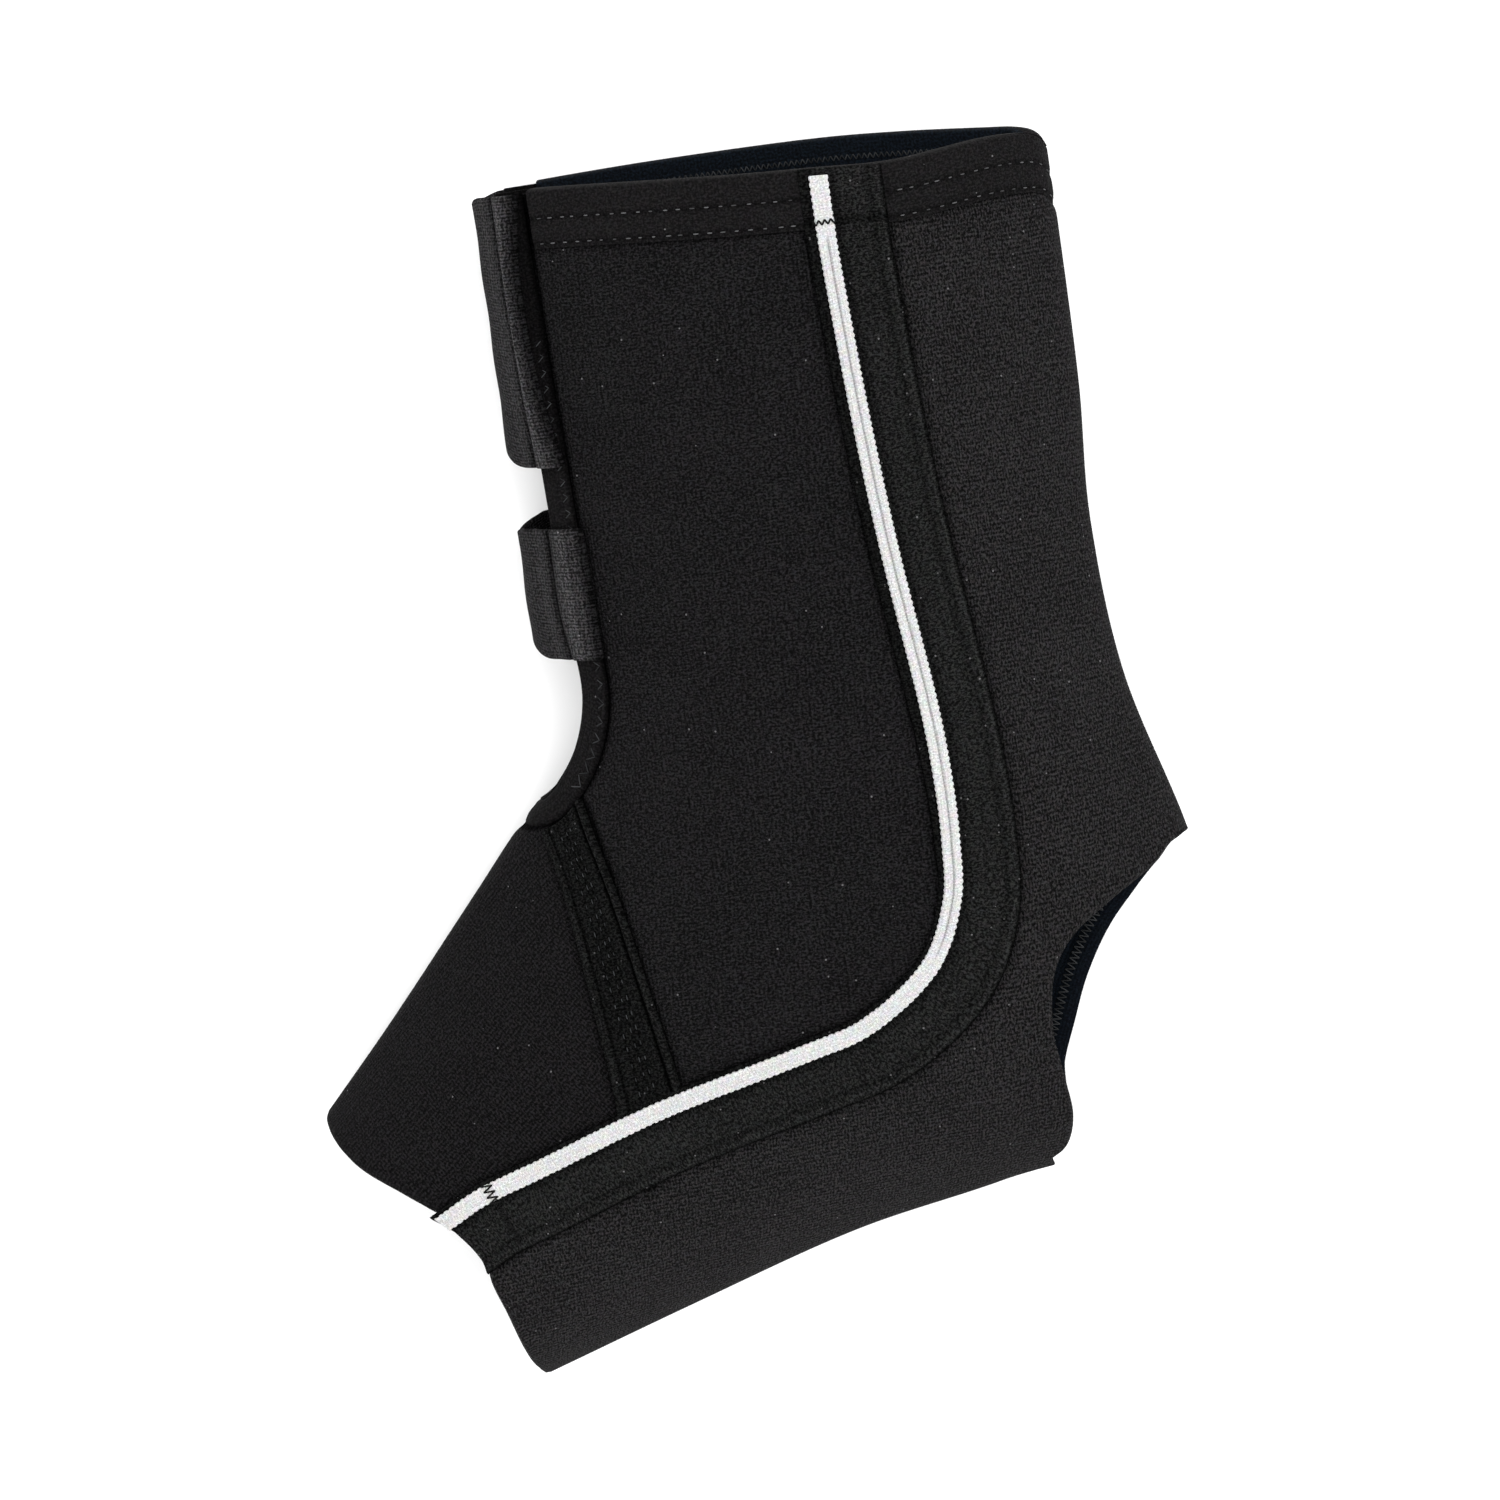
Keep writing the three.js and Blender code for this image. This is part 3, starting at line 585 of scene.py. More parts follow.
def cloth_finish(name, tone, contrast=0.95, rib=0.9, loop=0.7, depth=0.06, grain=0.45, turn=0.0, lint=0.0,
                 ribbing=0.1, roughness=0.93, specular=0.06):
    """Knit or woven cloth. Its colour goes from dark to light about its tone, as the power 1.6 of a share:
    fine noise makes the yarn's grain, sines of the flat coordinates make the ribs and the loops across
    them, and wide noise varies it at random. A few small cells are specks of lint. The points' shade
    multiplies the colour and the specular level: it paints shade into grooves and creases and painted
    highlights onto ridges, and on some pieces it also darkens the tone. Pitches and depths are in
    millimetres."""
    material = bpy.data.materials.new(name)
    material.use_nodes = True
    add, calculate = node_kit(material)
    surface = material.node_tree.nodes["Principled BSDF"]
    links = material.node_tree.links
    flat = add("ShaderNodeTexCoord").outputs["UV"]
    place = add("ShaderNodeTexCoord").outputs["Object"]
    shade = add("ShaderNodeAttribute", {"attribute_name": "shade"}).outputs["Fac"]
    wobble = add("ShaderNodeTexNoise", Vector=place, Scale=170.0, Detail=2.0).outputs["Color"]
    wobbled = add("ShaderNodeVectorMath", {"operation": "MULTIPLY_ADD"}, _0=wobble,
                  _1=(0.001, 0.001, 0), _2=flat).outputs["Vector"]
    turned = add("ShaderNodeMapping", Vector=wobbled, Rotation=(0, 0, turn)).outputs["Vector"]
    axes_of = add("ShaderNodeSeparateXYZ", Vector=turned).outputs

    def wave(output, pitch):
        """The sine of a flat coordinate, with a pitch in millimetres."""
        return calculate("SINE", calculate("MULTIPLY", output, 2 * math.pi * 1000 / pitch))

    def even_noise(scale, detail, vector=place):
        """Noise whose middle part is spread over -1 to 1."""
        noise = add("ShaderNodeTexNoise", Vector=vector, Scale=scale, Detail=detail, Roughness=0.65)
        spread = add("ShaderNodeMapRange", Value=noise.outputs["Fac"], _1=0.32, _2=0.68, _3=-1.0, _4=1.0)
        return spread.outputs[0]

    def plus(value, factor, rest):
        """A value times a factor, added to the rest."""
        return calculate("MULTIPLY_ADD", value, factor, rest)

    knit = plus(wave(axes_of["Y"], loop), 0.6, wave(axes_of["X"], rib))
    short_yarns = add("ShaderNodeMapping", Vector=turned, Scale=(1000 / grain / 1.7, 1000 / grain, 1))
    fine = even_noise(1000 / grain, 2.0)
    grainy = plus(fine, 0.8, even_noise(1.0, 2.0, short_yarns.outputs["Vector"]))
    level = plus(even_noise(60.0, 4.0), 0.06, plus(knit, ribbing, plus(grainy, 0.6, 0.5)))
    share = calculate("POWER", add("ShaderNodeClamp", Value=level).outputs[0], 1.6)
    dark = tuple(value * (1 - contrast) for value in tone)
    light = tuple(value * (1 + 2 * contrast) for value in tone)
    colour = add("ShaderNodeMix", {"data_type": "RGBA"}, _0=share, _6=(*dark, 1), _7=(*light, 1)).outputs[2]
    hues = add("ShaderNodeTexNoise", Vector=place, Scale=700.0, Detail=2.0).outputs["Color"]
    hue = add("ShaderNodeVectorMath", {"operation": "MULTIPLY_ADD"}, _0=hues, _1=(0.3,) * 3, _2=(0.85,) * 3)
    tinted = add("ShaderNodeVectorMath", {"operation": "MULTIPLY"}, _0=colour, _1=hue.outputs["Vector"])
    colour = tinted.outputs["Vector"]
    if lint:
        cells = add("ShaderNodeTexVoronoi", Vector=place, Scale=700.0)
        near = calculate("LESS_THAN", cells.outputs["Distance"], 0.15)
        pick = add("ShaderNodeSeparateColor", Color=cells.outputs["Color"]).outputs[0]
        speck = calculate("MULTIPLY", near, calculate("LESS_THAN", pick, lint))
        colour = add("ShaderNodeMix", {"data_type": "RGBA"}, _0=speck, _6=colour,
                     _7=(0.085, 0.083, 0.085, 1)).outputs[2]
    shaded = add("ShaderNodeVectorMath", {"operation": "SCALE"}, _0=colour, Scale=shade).outputs["Vector"]
    links.new(shaded, surface.inputs["Base Color"])
    relief = add("ShaderNodeBump", Strength=1.0, Distance=depth / 1000, Height=plus(grainy, 0.8, knit))
    links.new(relief.outputs["Normal"], surface.inputs["Normal"])
    links.new(calculate("MULTIPLY", shade, specular), surface.inputs["Specular IOR Level"])
    surface.inputs["Roughness"].default_value = roughness
    return material


leg_knit = cloth_finish("leg_knit", (0.0043, 0.0041, 0.0044), lint=0.03)
back_knit = cloth_finish("back_knit", (0.0072, 0.0068, 0.0071), turn=math.radians(90), lint=0.03,
                         ribbing=0.16)
foot_knit = cloth_finish("foot_knit", (0.0035, 0.0032, 0.0035), turn=math.radians(48), lint=0.03,
                         ribbing=0.2)
lining_knit = cloth_finish("lining_knit", (0.0018, 0.003, 0.0048), contrast=0.6, loop=0.9, depth=0.04)

seam_on = {
    (wall, fold): line_on_wall(side_seam, wall, fold, PANEL_SEAM)
    for wall, fold in ((1, -1), (1, 1), (-1, -1), (-1, 1))
}
slit_on = {wall: line_on_wall(slit_edge, wall, -1) for wall in (1, -1)}
instep_on = {wall: line_on_wall(instep_seam, wall, -1) for wall in (1, -1)}
slit_points = np.concatenate([on_sleeve(*slit_on[wall], 0) for wall in (1, -1)])


def girth_on(line, station):
    """The girth of a line at a station, straight between its places."""
    return np.interp(station, *line)


def bell(value, width):
    """A bell curve: 1 at 0, and e to the power of minus the square of the value over the width."""
    return np.exp(-(value / width)**2)


def instep_half_width(share):
    """Half the instep tape's width, which grows evenly with the share of its seam passed."""
    return (INSTEP_TAPE_END_WIDTH + (INSTEP_TAPE_WIDTH - INSTEP_TAPE_END_WIDTH) * share) / 2


def tape_edges(station):
    """How far beside the side seam the front and back edges of its tape lie. On the leg the back edge
    lies nearer to the seam, and on the foot the front edge does."""
    foot = np.clip((station - TUCK_STATION) / TUCK_STATIONS, 0, 1)
    return SEAM_TAPE_FRONT + TAPE_FRONT_TUCK * foot, SEAM_TAPE_BACK - TAPE_BACK_TUCK * (1 - foot)


def foam_relief(station, girth, point):
    """How far the foam sinks and how dark it is, for each place. At the side seam's tape, the instep tape,
    the binding and the hem it sinks, and less with the distance from their edges, nearly as a bell curve.
    The first half millimetre outside each edge lies in shade, and half as deep in front of the side seam."""
    tape_front, tape_back = tape_edges(station)
    from_seam = beside_path(side_seam, point[..., :2])[0]
    from_instep, along_instep = beside_path(instep_seam, point[..., :2])
    from_slit = np.linalg.norm(point - slit_points[nearest_on(slit_points, point)], axis=-1)
    gaps = np.maximum([
        np.maximum(tape_front - from_seam, from_seam - tape_back),
        np.abs(from_instep) - instep_half_width(along_instep),
        from_slit - BINDING_WIDTH,
        (station - rim_station(girth)) * LEG_STATION - HEM_WIDTH,
    ], 0)
    at_binding = BINDING_SINK * np.clip(np.abs(girth + 1) / 0.2, 0.2, 1)
    depths = np.stack(np.broadcast_arrays(SEAM_SINK, INSTEP_SINK, at_binding, HEM_SINK))
    sink = (depths * np.exp(-(gaps / SINK_REACH)**1.6)).max(0)
    sink = sink + HEM_PRESS * (gaps[3] == 0) * bell(girth - 1, HEM_PRESS_REACH)
    darkest = np.where((gaps[0] < 2) & (from_seam < 0), 0.4, 0.75)
    return -sink, 1 - darkest * np.exp(-(gaps.min(0) / 0.5)**2)


# The cloth's flat coordinates run on over an edge in this direction
EDGE_RUN = np.array([0.7, 0.7])


def foam_panel(name, station, girth, quads, roundness, fold, finish):
    """A foam panel from a net of places: the outer face with its relief, the inner face at the wall's
    depth, and rounded edges."""
    relief, shade = foam_relief(station, girth, on_sleeve(station, girth, 0))
    outer = on_sleeve(station, girth, relief)
    inner = on_sleeve(station, girth, -FOAM_WALL)
    points, faces, owner = shell(outer, inner, quads, roundness)
    over_edge = np.linalg.norm(points - outer[owner], axis=1)
    flat = unrolled(station, girth, fold)[owner] + over_edge[:, None] * EDGE_RUN
    lined = np.arange(len(faces)) >= len(faces) - len(quads)
    shade = np.where(np.arange(len(owner)) < len(points) - len(station), shade[owner], 1)
    piece = add_piece(name + "_foam", points, faces, flat, [finish, lining_knit], lined, shade)
    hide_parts(name)
    return piece


def side_panel(name, wall):
    """The net has rows of one station, from the rim to the tip where the instep seam meets the side seam,
    and columns from the slit's edge or the instep seam to the side seam."""
    seam = seam_on[wall, -1]
    stations = np.linspace(1, 9, 400)
    open_here = girth_on(seam, stations) - girth_on(instep_on[wall], stations)
    tip = stations[np.argmin(np.abs(open_here))] - 0.02
    places = np.linspace(FIRST_ROW, tip, 200)
    lengths = np.cumsum(millimetres_a_station(places, girth_on(seam, places)))
    rows = np.interp(np.linspace(lengths[0], lengths[-1], 210), lengths, places)
    share = np.linspace(0, 1, 78)
    station = np.repeat(rows[:, None], len(share), axis=1)
    for _ in range(3):
        limits = np.stack([girth_on(slit_on[wall], station), girth_on(instep_on[wall], station)])
        front = limits.max(0) if wall > 0 else limits.min(0)
        girth = front + (girth_on(seam, station) - front) * share
        near_rim = np.clip(1 - (rows - rows[0]) / BLEND_STATIONS, 0, 1)[:, None]
        station = rows[:, None] + (rim_station(girth) + RIM_COVER - rows[0]) * near_rim
    net = net_quads(len(rows), len(share))
    return foam_panel(name, station.ravel(), girth.ravel(), net, HIDDEN_ROUND, 0, leg_knit)


side_panel_near = side_panel("side_panel_near", 1)
side_panel_far = side_panel("side_panel_far", -1)


def even_places(station, girth, count):
    """Places an even distance apart along a line on the sleeve."""
    points = on_sleeve(station, girth, 0)
    passed = passed_along(points)
    even = np.linspace(0, passed[-1], count)
    return np.interp(even, passed, station), np.interp(even, passed, girth)


def forefoot_top():
    """The forefoot panel's upper edge: up the instep seam on the near wall, round the slit's lower end,
    and down the instep seam on the far wall."""
    halves = []
    for wall in (1, -1):
        seam_station, seam_girth = instep_on[wall]
        below_side = (girth_on(seam_on[wall, -1], seam_station) - seam_girth) * wall > 0
        slit_station, slit_girth = slit_on[wall]
        before_slit = (seam_girth - girth_on(slit_on[wall], seam_station)) * wall > 0
        keep = below_side & before_slit
        first = seam_station[keep].min()
        tail = slit_station > first
        halves.append((
            np.concatenate([seam_station[keep][::-1], slit_station[tail]]),
            np.concatenate([seam_girth[keep][::-1], slit_girth[tail]]),
        ))
    near, far = halves
    return np.concatenate([near[0], far[0][::-1]]), np.concatenate([near[1], far[1][::-1]])


def forefoot_panel():
    """The net runs from the upper edge to the toe rim, and from the near side seam round the front fold
    to the far one. Its sides are drawn onto the seams."""
    columns = 128
    rows = np.linspace(0, 1, 92)[:, None]
    top_station, top_girth = even_places(*forefoot_top(), columns)
    ends = [girth_on(seam_on[wall, -1], TOE_CORNER_STATION) for wall in (1, -1)]
    toe_girths = np.linspace(*ends, 300)
    toe_stations = toe_station(toe_girths) - EDGE_ROUND / INSTEP_STATION
    toe_line, toe_girth = even_places(toe_stations, toe_girths, columns)
    station = top_station + (toe_line - top_station) * rows
    girth = top_girth + (toe_girth - top_girth) * rows
    share = np.linspace(0, 1, columns)
    near_side = girth_on(seam_on[1, -1], station[:, :1]) - girth[:, :1]
    far_side = girth_on(seam_on[-1, -1], station[:, -1:]) - girth[:, -1:]
    girth = girth + near_side * (1 - share) + far_side * share
    roundness = np.full(station.shape, HIDDEN_ROUND)
    roundness[-1] = EDGE_ROUND
    net = net_quads(len(rows), columns)
    return foam_panel("forefoot_panel", station.ravel(), girth.ravel(), net, roundness.ravel(), -1, foot_knit)


forefoot = forefoot_panel()


def heel_girth(wall):
    """The heel opening's edge on a wall: its share across is ruled between the far and the near curve by
    the height of the place. Returns the stations where it opens and closes, and the girths between."""
    near_edge, far_edge = edge_curve(HEEL_NEAR), edge_curve(HEEL_FAR)
    station = np.linspace(4.92, 7.74, 1200)
    near = np.interp(station, near_edge[:, 0], near_edge[:, 1])
    far = np.interp(station, far_edge[:, 0], far_edge[:, 1])
    across = near
    for _ in range(4):
        girth = girth_at(station, across, wall, 1)
        height = outline(station, girth, 0)[1]
        across = far + (near - far) * height / RULED_HEIGHT
    inside = across < 1
    return station[inside], girth_at(station, across, wall, 1)[inside]


heel_on = {wall: heel_girth(wall) for wall in (1, -1)}
heel_top = max(heel_on[wall][0][0] for wall in (1, -1))
heel_foot = min(heel_on[wall][0][-1] for wall in (1, -1))


def back_panel():
    """One net for the near half and one for the far half, from the side seam to the back fold or to the
    heel opening's edge. They share their points along the fold, above and below the opening."""
    opening = (1 - np.cos(np.linspace(0, np.pi, 84))) / 2
    rows = np.concatenate([
        np.linspace(FIRST_ROW, heel_top, 118)[:-1],
        heel_top + (heel_foot - heel_top) * opening,
        np.linspace(heel_foot, LAST_ROW, 84)[1:],
    ])
    open_rows = (rows > heel_top + 1e-9) & (rows < heel_foot - 1e-9)
    share = np.linspace(0, 1, 46)
    near_fold = 0.06
    nets = []
    for wall in (1, -1):
        seam = seam_on[wall, 1]
        station = np.repeat(rows[:, None], len(share), axis=1)
        for _ in range(3):
            edge = girth_on(heel_on[wall], station)
            inset = EDGE_ROUND / HEEL_GIRTH * np.minimum(1, np.abs(1 - edge) / near_fold)
            limit = np.where(open_rows[:, None], edge - wall * inset, 1)
            girth = girth_on(seam, station) + (limit - girth_on(seam, station)) * share
            near_rim = np.clip(1 - (rows - rows[0]) / BLEND_STATIONS, 0, 1)[:, None]
            near_toe = np.clip(1 - (rows[-1] - rows) / BLEND_STATIONS, 0, 1)[:, None]
            station = (rows[:, None] + (rim_station(girth) + RIM_COVER - rows[0]) * near_rim
                       + (toe_station(girth) - EDGE_ROUND / SOLE_STATION - rows[-1]) * near_toe)
        nets.append((station, girth))
    station = np.concatenate([nets[0][0].ravel(), nets[1][0].ravel()])
    girth = np.concatenate([nets[0][1].ravel(), nets[1][1].ravel()])
    count = len(rows) * len(share)
    near_quads = net_quads(len(rows), len(share))
    far_quads = near_quads[:, ::-1] + count
    fold_points = np.arange(len(rows)) * len(share) + len(share) - 1
    same = np.arange(2 * count)
    same[fold_points[~open_rows] + count] = fold_points[~open_rows]
    quads = same[np.concatenate([near_quads, far_quads])]
    kept, quads = np.unique(quads, return_inverse=True)
    quads = quads.reshape(-1, 4)
    roundness = np.full((2, len(rows), len(share)), HIDDEN_ROUND)
    for half, wall in enumerate((1, -1)):
        from_fold = np.abs(1 - girth_on(heel_on[wall], rows[open_rows]))
        rounded = EDGE_ROUND * np.minimum(from_fold / near_fold, 1)
        roundness[half, open_rows, -1] = np.maximum(rounded, HIDDEN_ROUND)
    roundness[:, -1, :] = EDGE_ROUND
    return foam_panel("back_panel", station[kept], girth[kept], quads, roundness.ravel()[kept], 1, back_knit)


back = back_panel()

# Seam tapes: thin black knit tape, 18.6 mm wide, sewn flat over the two long side seams. It runs over
# the hem up to the rim, and a soft hollow runs inside its back edge.
TAPE_BASE = 0.3
TAPE_TOP = 1.1
TAPE_OVER_HEM = 0.75
TAPE_SUNK = 0.5

black_tape = cloth_finish("black_tape", (0.0055, 0.0056, 0.0055), rib=1.1, loop=0.5, lint=0.09, ribbing=0.06)


def places_beside(path, length, offsets, wall, out):
    """Stations and girths at lengths along a plan path and offsets beside it, for a layer a distance out
    of the foam."""
    left = leftward(path)
    passed = passed_along(path)
    plan = np.stack([
        np.interp(length, passed, path[:, axis]) + np.interp(length, passed, left[:, axis]) * offsets
        for axis in (0, 1)
    ], axis=-1)
    station, across = locate(plan)
    return station, girth_at(station, across, wall, 1, out)


def strip_on_wall(path, offsets, wall, rows, out, past_rim=0.0, past_toe=0.0):
    """Places of a strip beside a plan path that ends at the rim and the toe edge, or past them, for a layer
    a distance out of the foam. For each offset the path's length is cut where the strip's line crosses
    those edges. Returns stations, girths and the lengths along the path."""
    left = leftward(path)
    passed = passed_along(path)
    plan = path[:, None] + left[:, None] * np.asarray(offsets)[None, :, None]
    station, across = locate(plan)
    girth = girth_at(station, across, wall, 1, out)
    over_rim = station - rim_station(girth)
    over_toe = station - toe_station(girth)
    start = np.array([np.interp(0, column, passed) for column in over_rim.T]) - past_rim
    end = np.array([np.interp(0, column, passed) for column in over_toe.T]) + past_toe
    length = start + (end - start) * np.linspace(0, 1, rows)[:, None]
    return *places_beside(path, length, offsets, wall, out), length


def over_hem(station, girth, wall):
    """Lift where a tape runs over the hem: full above the hem's lower edge, and smoothly none below it. On
    the far wall the brace's weight has pressed it flat."""
    drop = (station - rim_station(girth)) * LEG_STATION
    return (TAPE_OVER_HEM if wall > 0 else 0) * np.clip((HEM_WIDTH + 3 - drop) / 3, 0, 1)


def net_piece(name, outer, inner, flat, materials, shade, roundness=0.2, steps=3, closed=False,
              lined_past=None):
    """A piece between an outer and an inner net of points, with rounded edges. Each place has a pair of flat
    coordinates and a shade. Columns past a given one take the second material."""
    rows, columns = outer.shape[:2]
    quads = net_quads(rows, columns, closed)
    points, faces, owner = shell(outer.reshape(-1, 3), inner.reshape(-1, 3), quads, roundness, steps)
    flat = np.stack(np.broadcast_arrays(*flat), axis=-1).reshape(-1, 2)[owner]
    lined = None if lined_past is None else (owner % columns)[faces].min(1) > lined_past
    shade = np.broadcast_to(shade, (rows, columns)).ravel()[owner]
    return add_piece(name, points, faces, flat, materials, lined, shade)


def strip_piece(name, places, offsets, top, base, materials, shade, roundness=0.25):
    """A strip from its places, with the height of its top and base and the shade at each."""
    station, girth, length = places
    outer = on_sleeve(station, girth, top)
    inner = on_sleeve(station, girth, base)
    return net_piece(name, outer, inner, (offsets, length), materials, shade, roundness)


def seam_tape(name, wall, rows):
    """Its top is flat but for a soft hollow along the back edge, one on each side of the piping and the hem's
    lower row of stitches, which runs on across it. Painted shade darkens the back edge, the hollow inside it
    and the hollow behind the piping, with a painted highlight just inside the back edge; the part in front of
    the piping lies in painted shadow, and it is darker along the hem's row of stitches."""
    piping_back = 3
    hollow_front = 10.6
    offsets = np.concatenate([
        np.linspace(SEAM_TAPE_FRONT, piping_back, 12)[:-1],
        np.linspace(piping_back, hollow_front, 8)[:-1],
        np.linspace(hollow_front, SEAM_TAPE_BACK, 17),
    ])
    station, girth, length = strip_on_wall(side_seam, offsets, wall, rows, TAPE_TOP / 2, -0.2, 0.1)
    tape_front, tape_back = tape_edges(station)
    past_piping = offsets - piping_back
    offsets = piping_back + np.where(
        past_piping < 0,
        past_piping * (piping_back - tape_front) / (piping_back - SEAM_TAPE_FRONT),
        past_piping * (tape_back - piping_back) / (SEAM_TAPE_BACK - piping_back),
    )
    station, girth = places_beside(side_seam, length, offsets, wall, TAPE_TOP / 2)
    from_back = tape_back - offsets
    lift = over_hem(station, girth, wall)
    swell = 0.16 * np.sin(length / 4.1 + np.sin(length / 11)) * bell(offsets - 8, 3)
    row_across = bell((station - rim_station(girth)) * LEG_STATION - HEM_WIDTH + 0.9, 0.8)
    top = TAPE_TOP + 0.25 * bell(from_back - 1.1, 0.6) - 0.3 * bell(from_back - 2.9, 0.7) + swell
    top = top - 0.45 * bell(offsets - 2.9, 0.7) - 0.35 * bell(offsets + 3.6, 0.7) - 0.4 * row_across
    shade = 1 - 0.8 * bell(from_back, 0.45) + 0.25 * bell(from_back - 1.1, 0.4)
    shade = shade - 0.3 * bell(from_back - 2.9, 0.6) - 0.5 * bell(offsets - 2.6, 0.6)
    shade = shade - 0.5 * np.clip((-1.4 - offsets) / 0.6, 0, 1)
    shade = shade * (1 - 0.6 * row_across)
    piece = strip_piece(name + "_cloth", (station, girth, length), offsets, top + lift,
                        TAPE_BASE - TAPE_SUNK + lift, [black_tape], shade)
    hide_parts(name)


seam_tape("seam_tape_near", 1, 330)
seam_tape("seam_tape_far", -1, 220)

# Instep tapes: the same black tape over the seam between side panel and forefoot, from under the
# binding to under the seam tape, stitched down in three rows of grey thread.
INSTEP_STITCH_PITCH = 3.3
INSTEP_STITCH_LENGTH = 1.0
INSTEP_STITCH_ROWS = [-0.24, 0.04, 0.24]


def thread_finish(name, colour):
    """Spun thread: twisted strands as fine noise in brightness and relief, times each stitch's shade."""
    material = bpy.data.materials.new(name)
    material.use_nodes = True
    add, _ = node_kit(material)
    surface = material.node_tree.nodes["Principled BSDF"]
    place = add("ShaderNodeTexCoord").outputs["Object"]
    shade = add("ShaderNodeAttribute", {"attribute_name": "shade"}).outputs["Fac"]
    grain = add("ShaderNodeTexNoise", Vector=place, Scale=2500.0, Detail=2.0).outputs["Fac"]
    dim = tuple(0.55 * value for value in colour)
    mixed = add("ShaderNodeMix", {"data_type": "RGBA"}, _0=grain, _6=(*dim, 1), _7=(*colour, 1)).outputs[2]
    shaded = add("ShaderNodeVectorMath", {"operation": "SCALE"}, _0=mixed, Scale=shade).outputs["Vector"]
    relief = add("ShaderNodeBump", Strength=0.6, Distance=0.0001, Height=grain).outputs["Normal"]
    material.node_tree.links.new(shaded, surface.inputs["Base Color"])
    material.node_tree.links.new(relief, surface.inputs["Normal"])
    surface.inputs["Roughness"].default_value = 0.8
    surface.inputs["Specular IOR Level"].default_value = 0.1
    return material


grey_thread = thread_finish("grey_thread", (0.1, 0.1, 0.103))
dim_thread = thread_finish("dim_thread", (0.038, 0.04, 0.042))
black_thread = thread_finish("black_thread", (0.004, 0.0038, 0.004))


def stitches(name, starts, ends, ups, radius, material):
    """Stitches as short rounded bars between pairs of points. Each is five rings of six points round its
    middle line, narrower at both ends, and is sunk a little at the ends. Their shades are uneven."""
    along = ends - starts
    up = ups / np.linalg.norm(ups, axis=-1)[:, None]
    side = np.cross(along, up)
    side /= np.linalg.norm(side, axis=-1)[:, None]
    ring = np.arange(6)
    angle = ring * np.pi / 3
    shares = np.array([0, 0.12, 0.5, 0.88, 1])
    widths = np.array([0.35, 0.85, 1, 0.85, 0.35]) * radius
    sinks = np.array([-0.7, -0.1, 0.35, -0.1, -0.7]) * radius
    rings = (
        starts[:, None, None] + along[:, None, None] * shares[None, :, None, None]
        + side[:, None, None] * (widths[:, None] * np.cos(angle))[None, ..., None]
        + up[:, None, None] * (widths[:, None] * np.sin(angle) * 0.8 + sinks[:, None])[None, ..., None]
    )
    beside = (ring + 1) % 6
    quads = [np.stack([ring, beside, beside + 6, ring + 6], axis=1) + 6 * level for level in range(4)]
    caps = np.array([[0, 3, 2, 1], [0, 5, 4, 3], [24, 25, 26, 27], [24, 27, 28, 29]])
    one = np.concatenate([*quads, caps])
    faces = (one[None] + 30 * np.arange(len(starts))[:, None, None]).reshape(-1, 4)
    points = rings.reshape(-1, 3)
    corner = points[faces]
    normal = np.cross(corner[:, 2] - corner[:, 0], corner[:, 3] - corner[:, 1])
    middle = np.repeat(rings.mean((1, 2)), len(one), axis=0)
    if (normal * (corner.mean(1) - middle)).sum() < 0:
        faces = faces[:, ::-1]
    shade = np.repeat(np.random.default_rng(len(starts)).uniform(0.3, 1, len(starts)), 30)
    return add_piece(name, points, faces, points[:, :2], [material], shade=shade)


def dashes(station, girth, out, pitch, length, seed):
    """Ends and upward directions of stitches along a line on the sleeve: one a pitch, a little uneven."""
    unevenness = 0.25
    points = on_sleeve(station, girth, out)
    above = on_sleeve(station, girth, np.asarray(out) + 1) - points
    passed = passed_along(points)
    random = np.random.default_rng(seed)
    first = np.arange(pitch / 2, passed[-1] - length, pitch)
    first = first + random.uniform(-unevenness, unevenness, len(first)) * pitch * 0.4
    sizes = length * random.uniform(1 - unevenness, 1 + unevenness, len(first))
    return [
        np.stack([np.interp(at, passed, values[:, axis]) for axis in range(3)], axis=1)
        for at, values in ((first, points), (first + sizes, points), (first, above))
    ]


def join_stitches(groups):
    """Groups of stitches as one: their starts, ends and upward directions, each list end to end."""
    return [np.concatenate([group[i] for group in groups]) for i in range(3)]


def instep_places(wall, shares, rows):
    """Places of the instep tape: lines at shares of its half width beside the seam, each cut where it
    reaches the binding and where it runs under the side seam's tape."""
    left = leftward(instep_seam)
    along = np.linspace(0, 1, len(instep_seam))
    offsets = instep_half_width(along)[:, None] * shares[None]
    plan = instep_seam[:, None] + left[:, None] * offsets[..., None]
    past_slit = beside_path(slit_edge, plan)[0] - BINDING_WIDTH + 1.2
    to_seam = SEAM_TAPE_FRONT + TAPE_FRONT_TUCK + 1.5 - beside_path(side_seam, plan)[0]
    past_slit[:len(along) // 12] = -1
    upper_half = slice(len(along) // 2)
    starts = np.array([np.interp(0, column[upper_half], along[upper_half]) for column in past_slit.T])
    ends = np.array([np.interp(0, -column, along) for column in to_seam.T])
    place = starts + (ends - starts) * np.linspace(0, 1, rows)[:, None]
    middle = [np.interp(place, along, instep_seam[:, axis]) for axis in (0, 1)]
    sideways = [np.interp(place, along, left[:, axis]) for axis in (0, 1)]
    reach = instep_half_width(place) * shares
    plan = np.stack([middle[axis] + sideways[axis] * reach for axis in (0, 1)], axis=-1)
    station, across = locate(plan)
    passed = place * steps_of(instep_seam).sum()
    return station, girth_at(station, across, wall, -1, TAPE_TOP / 2), passed


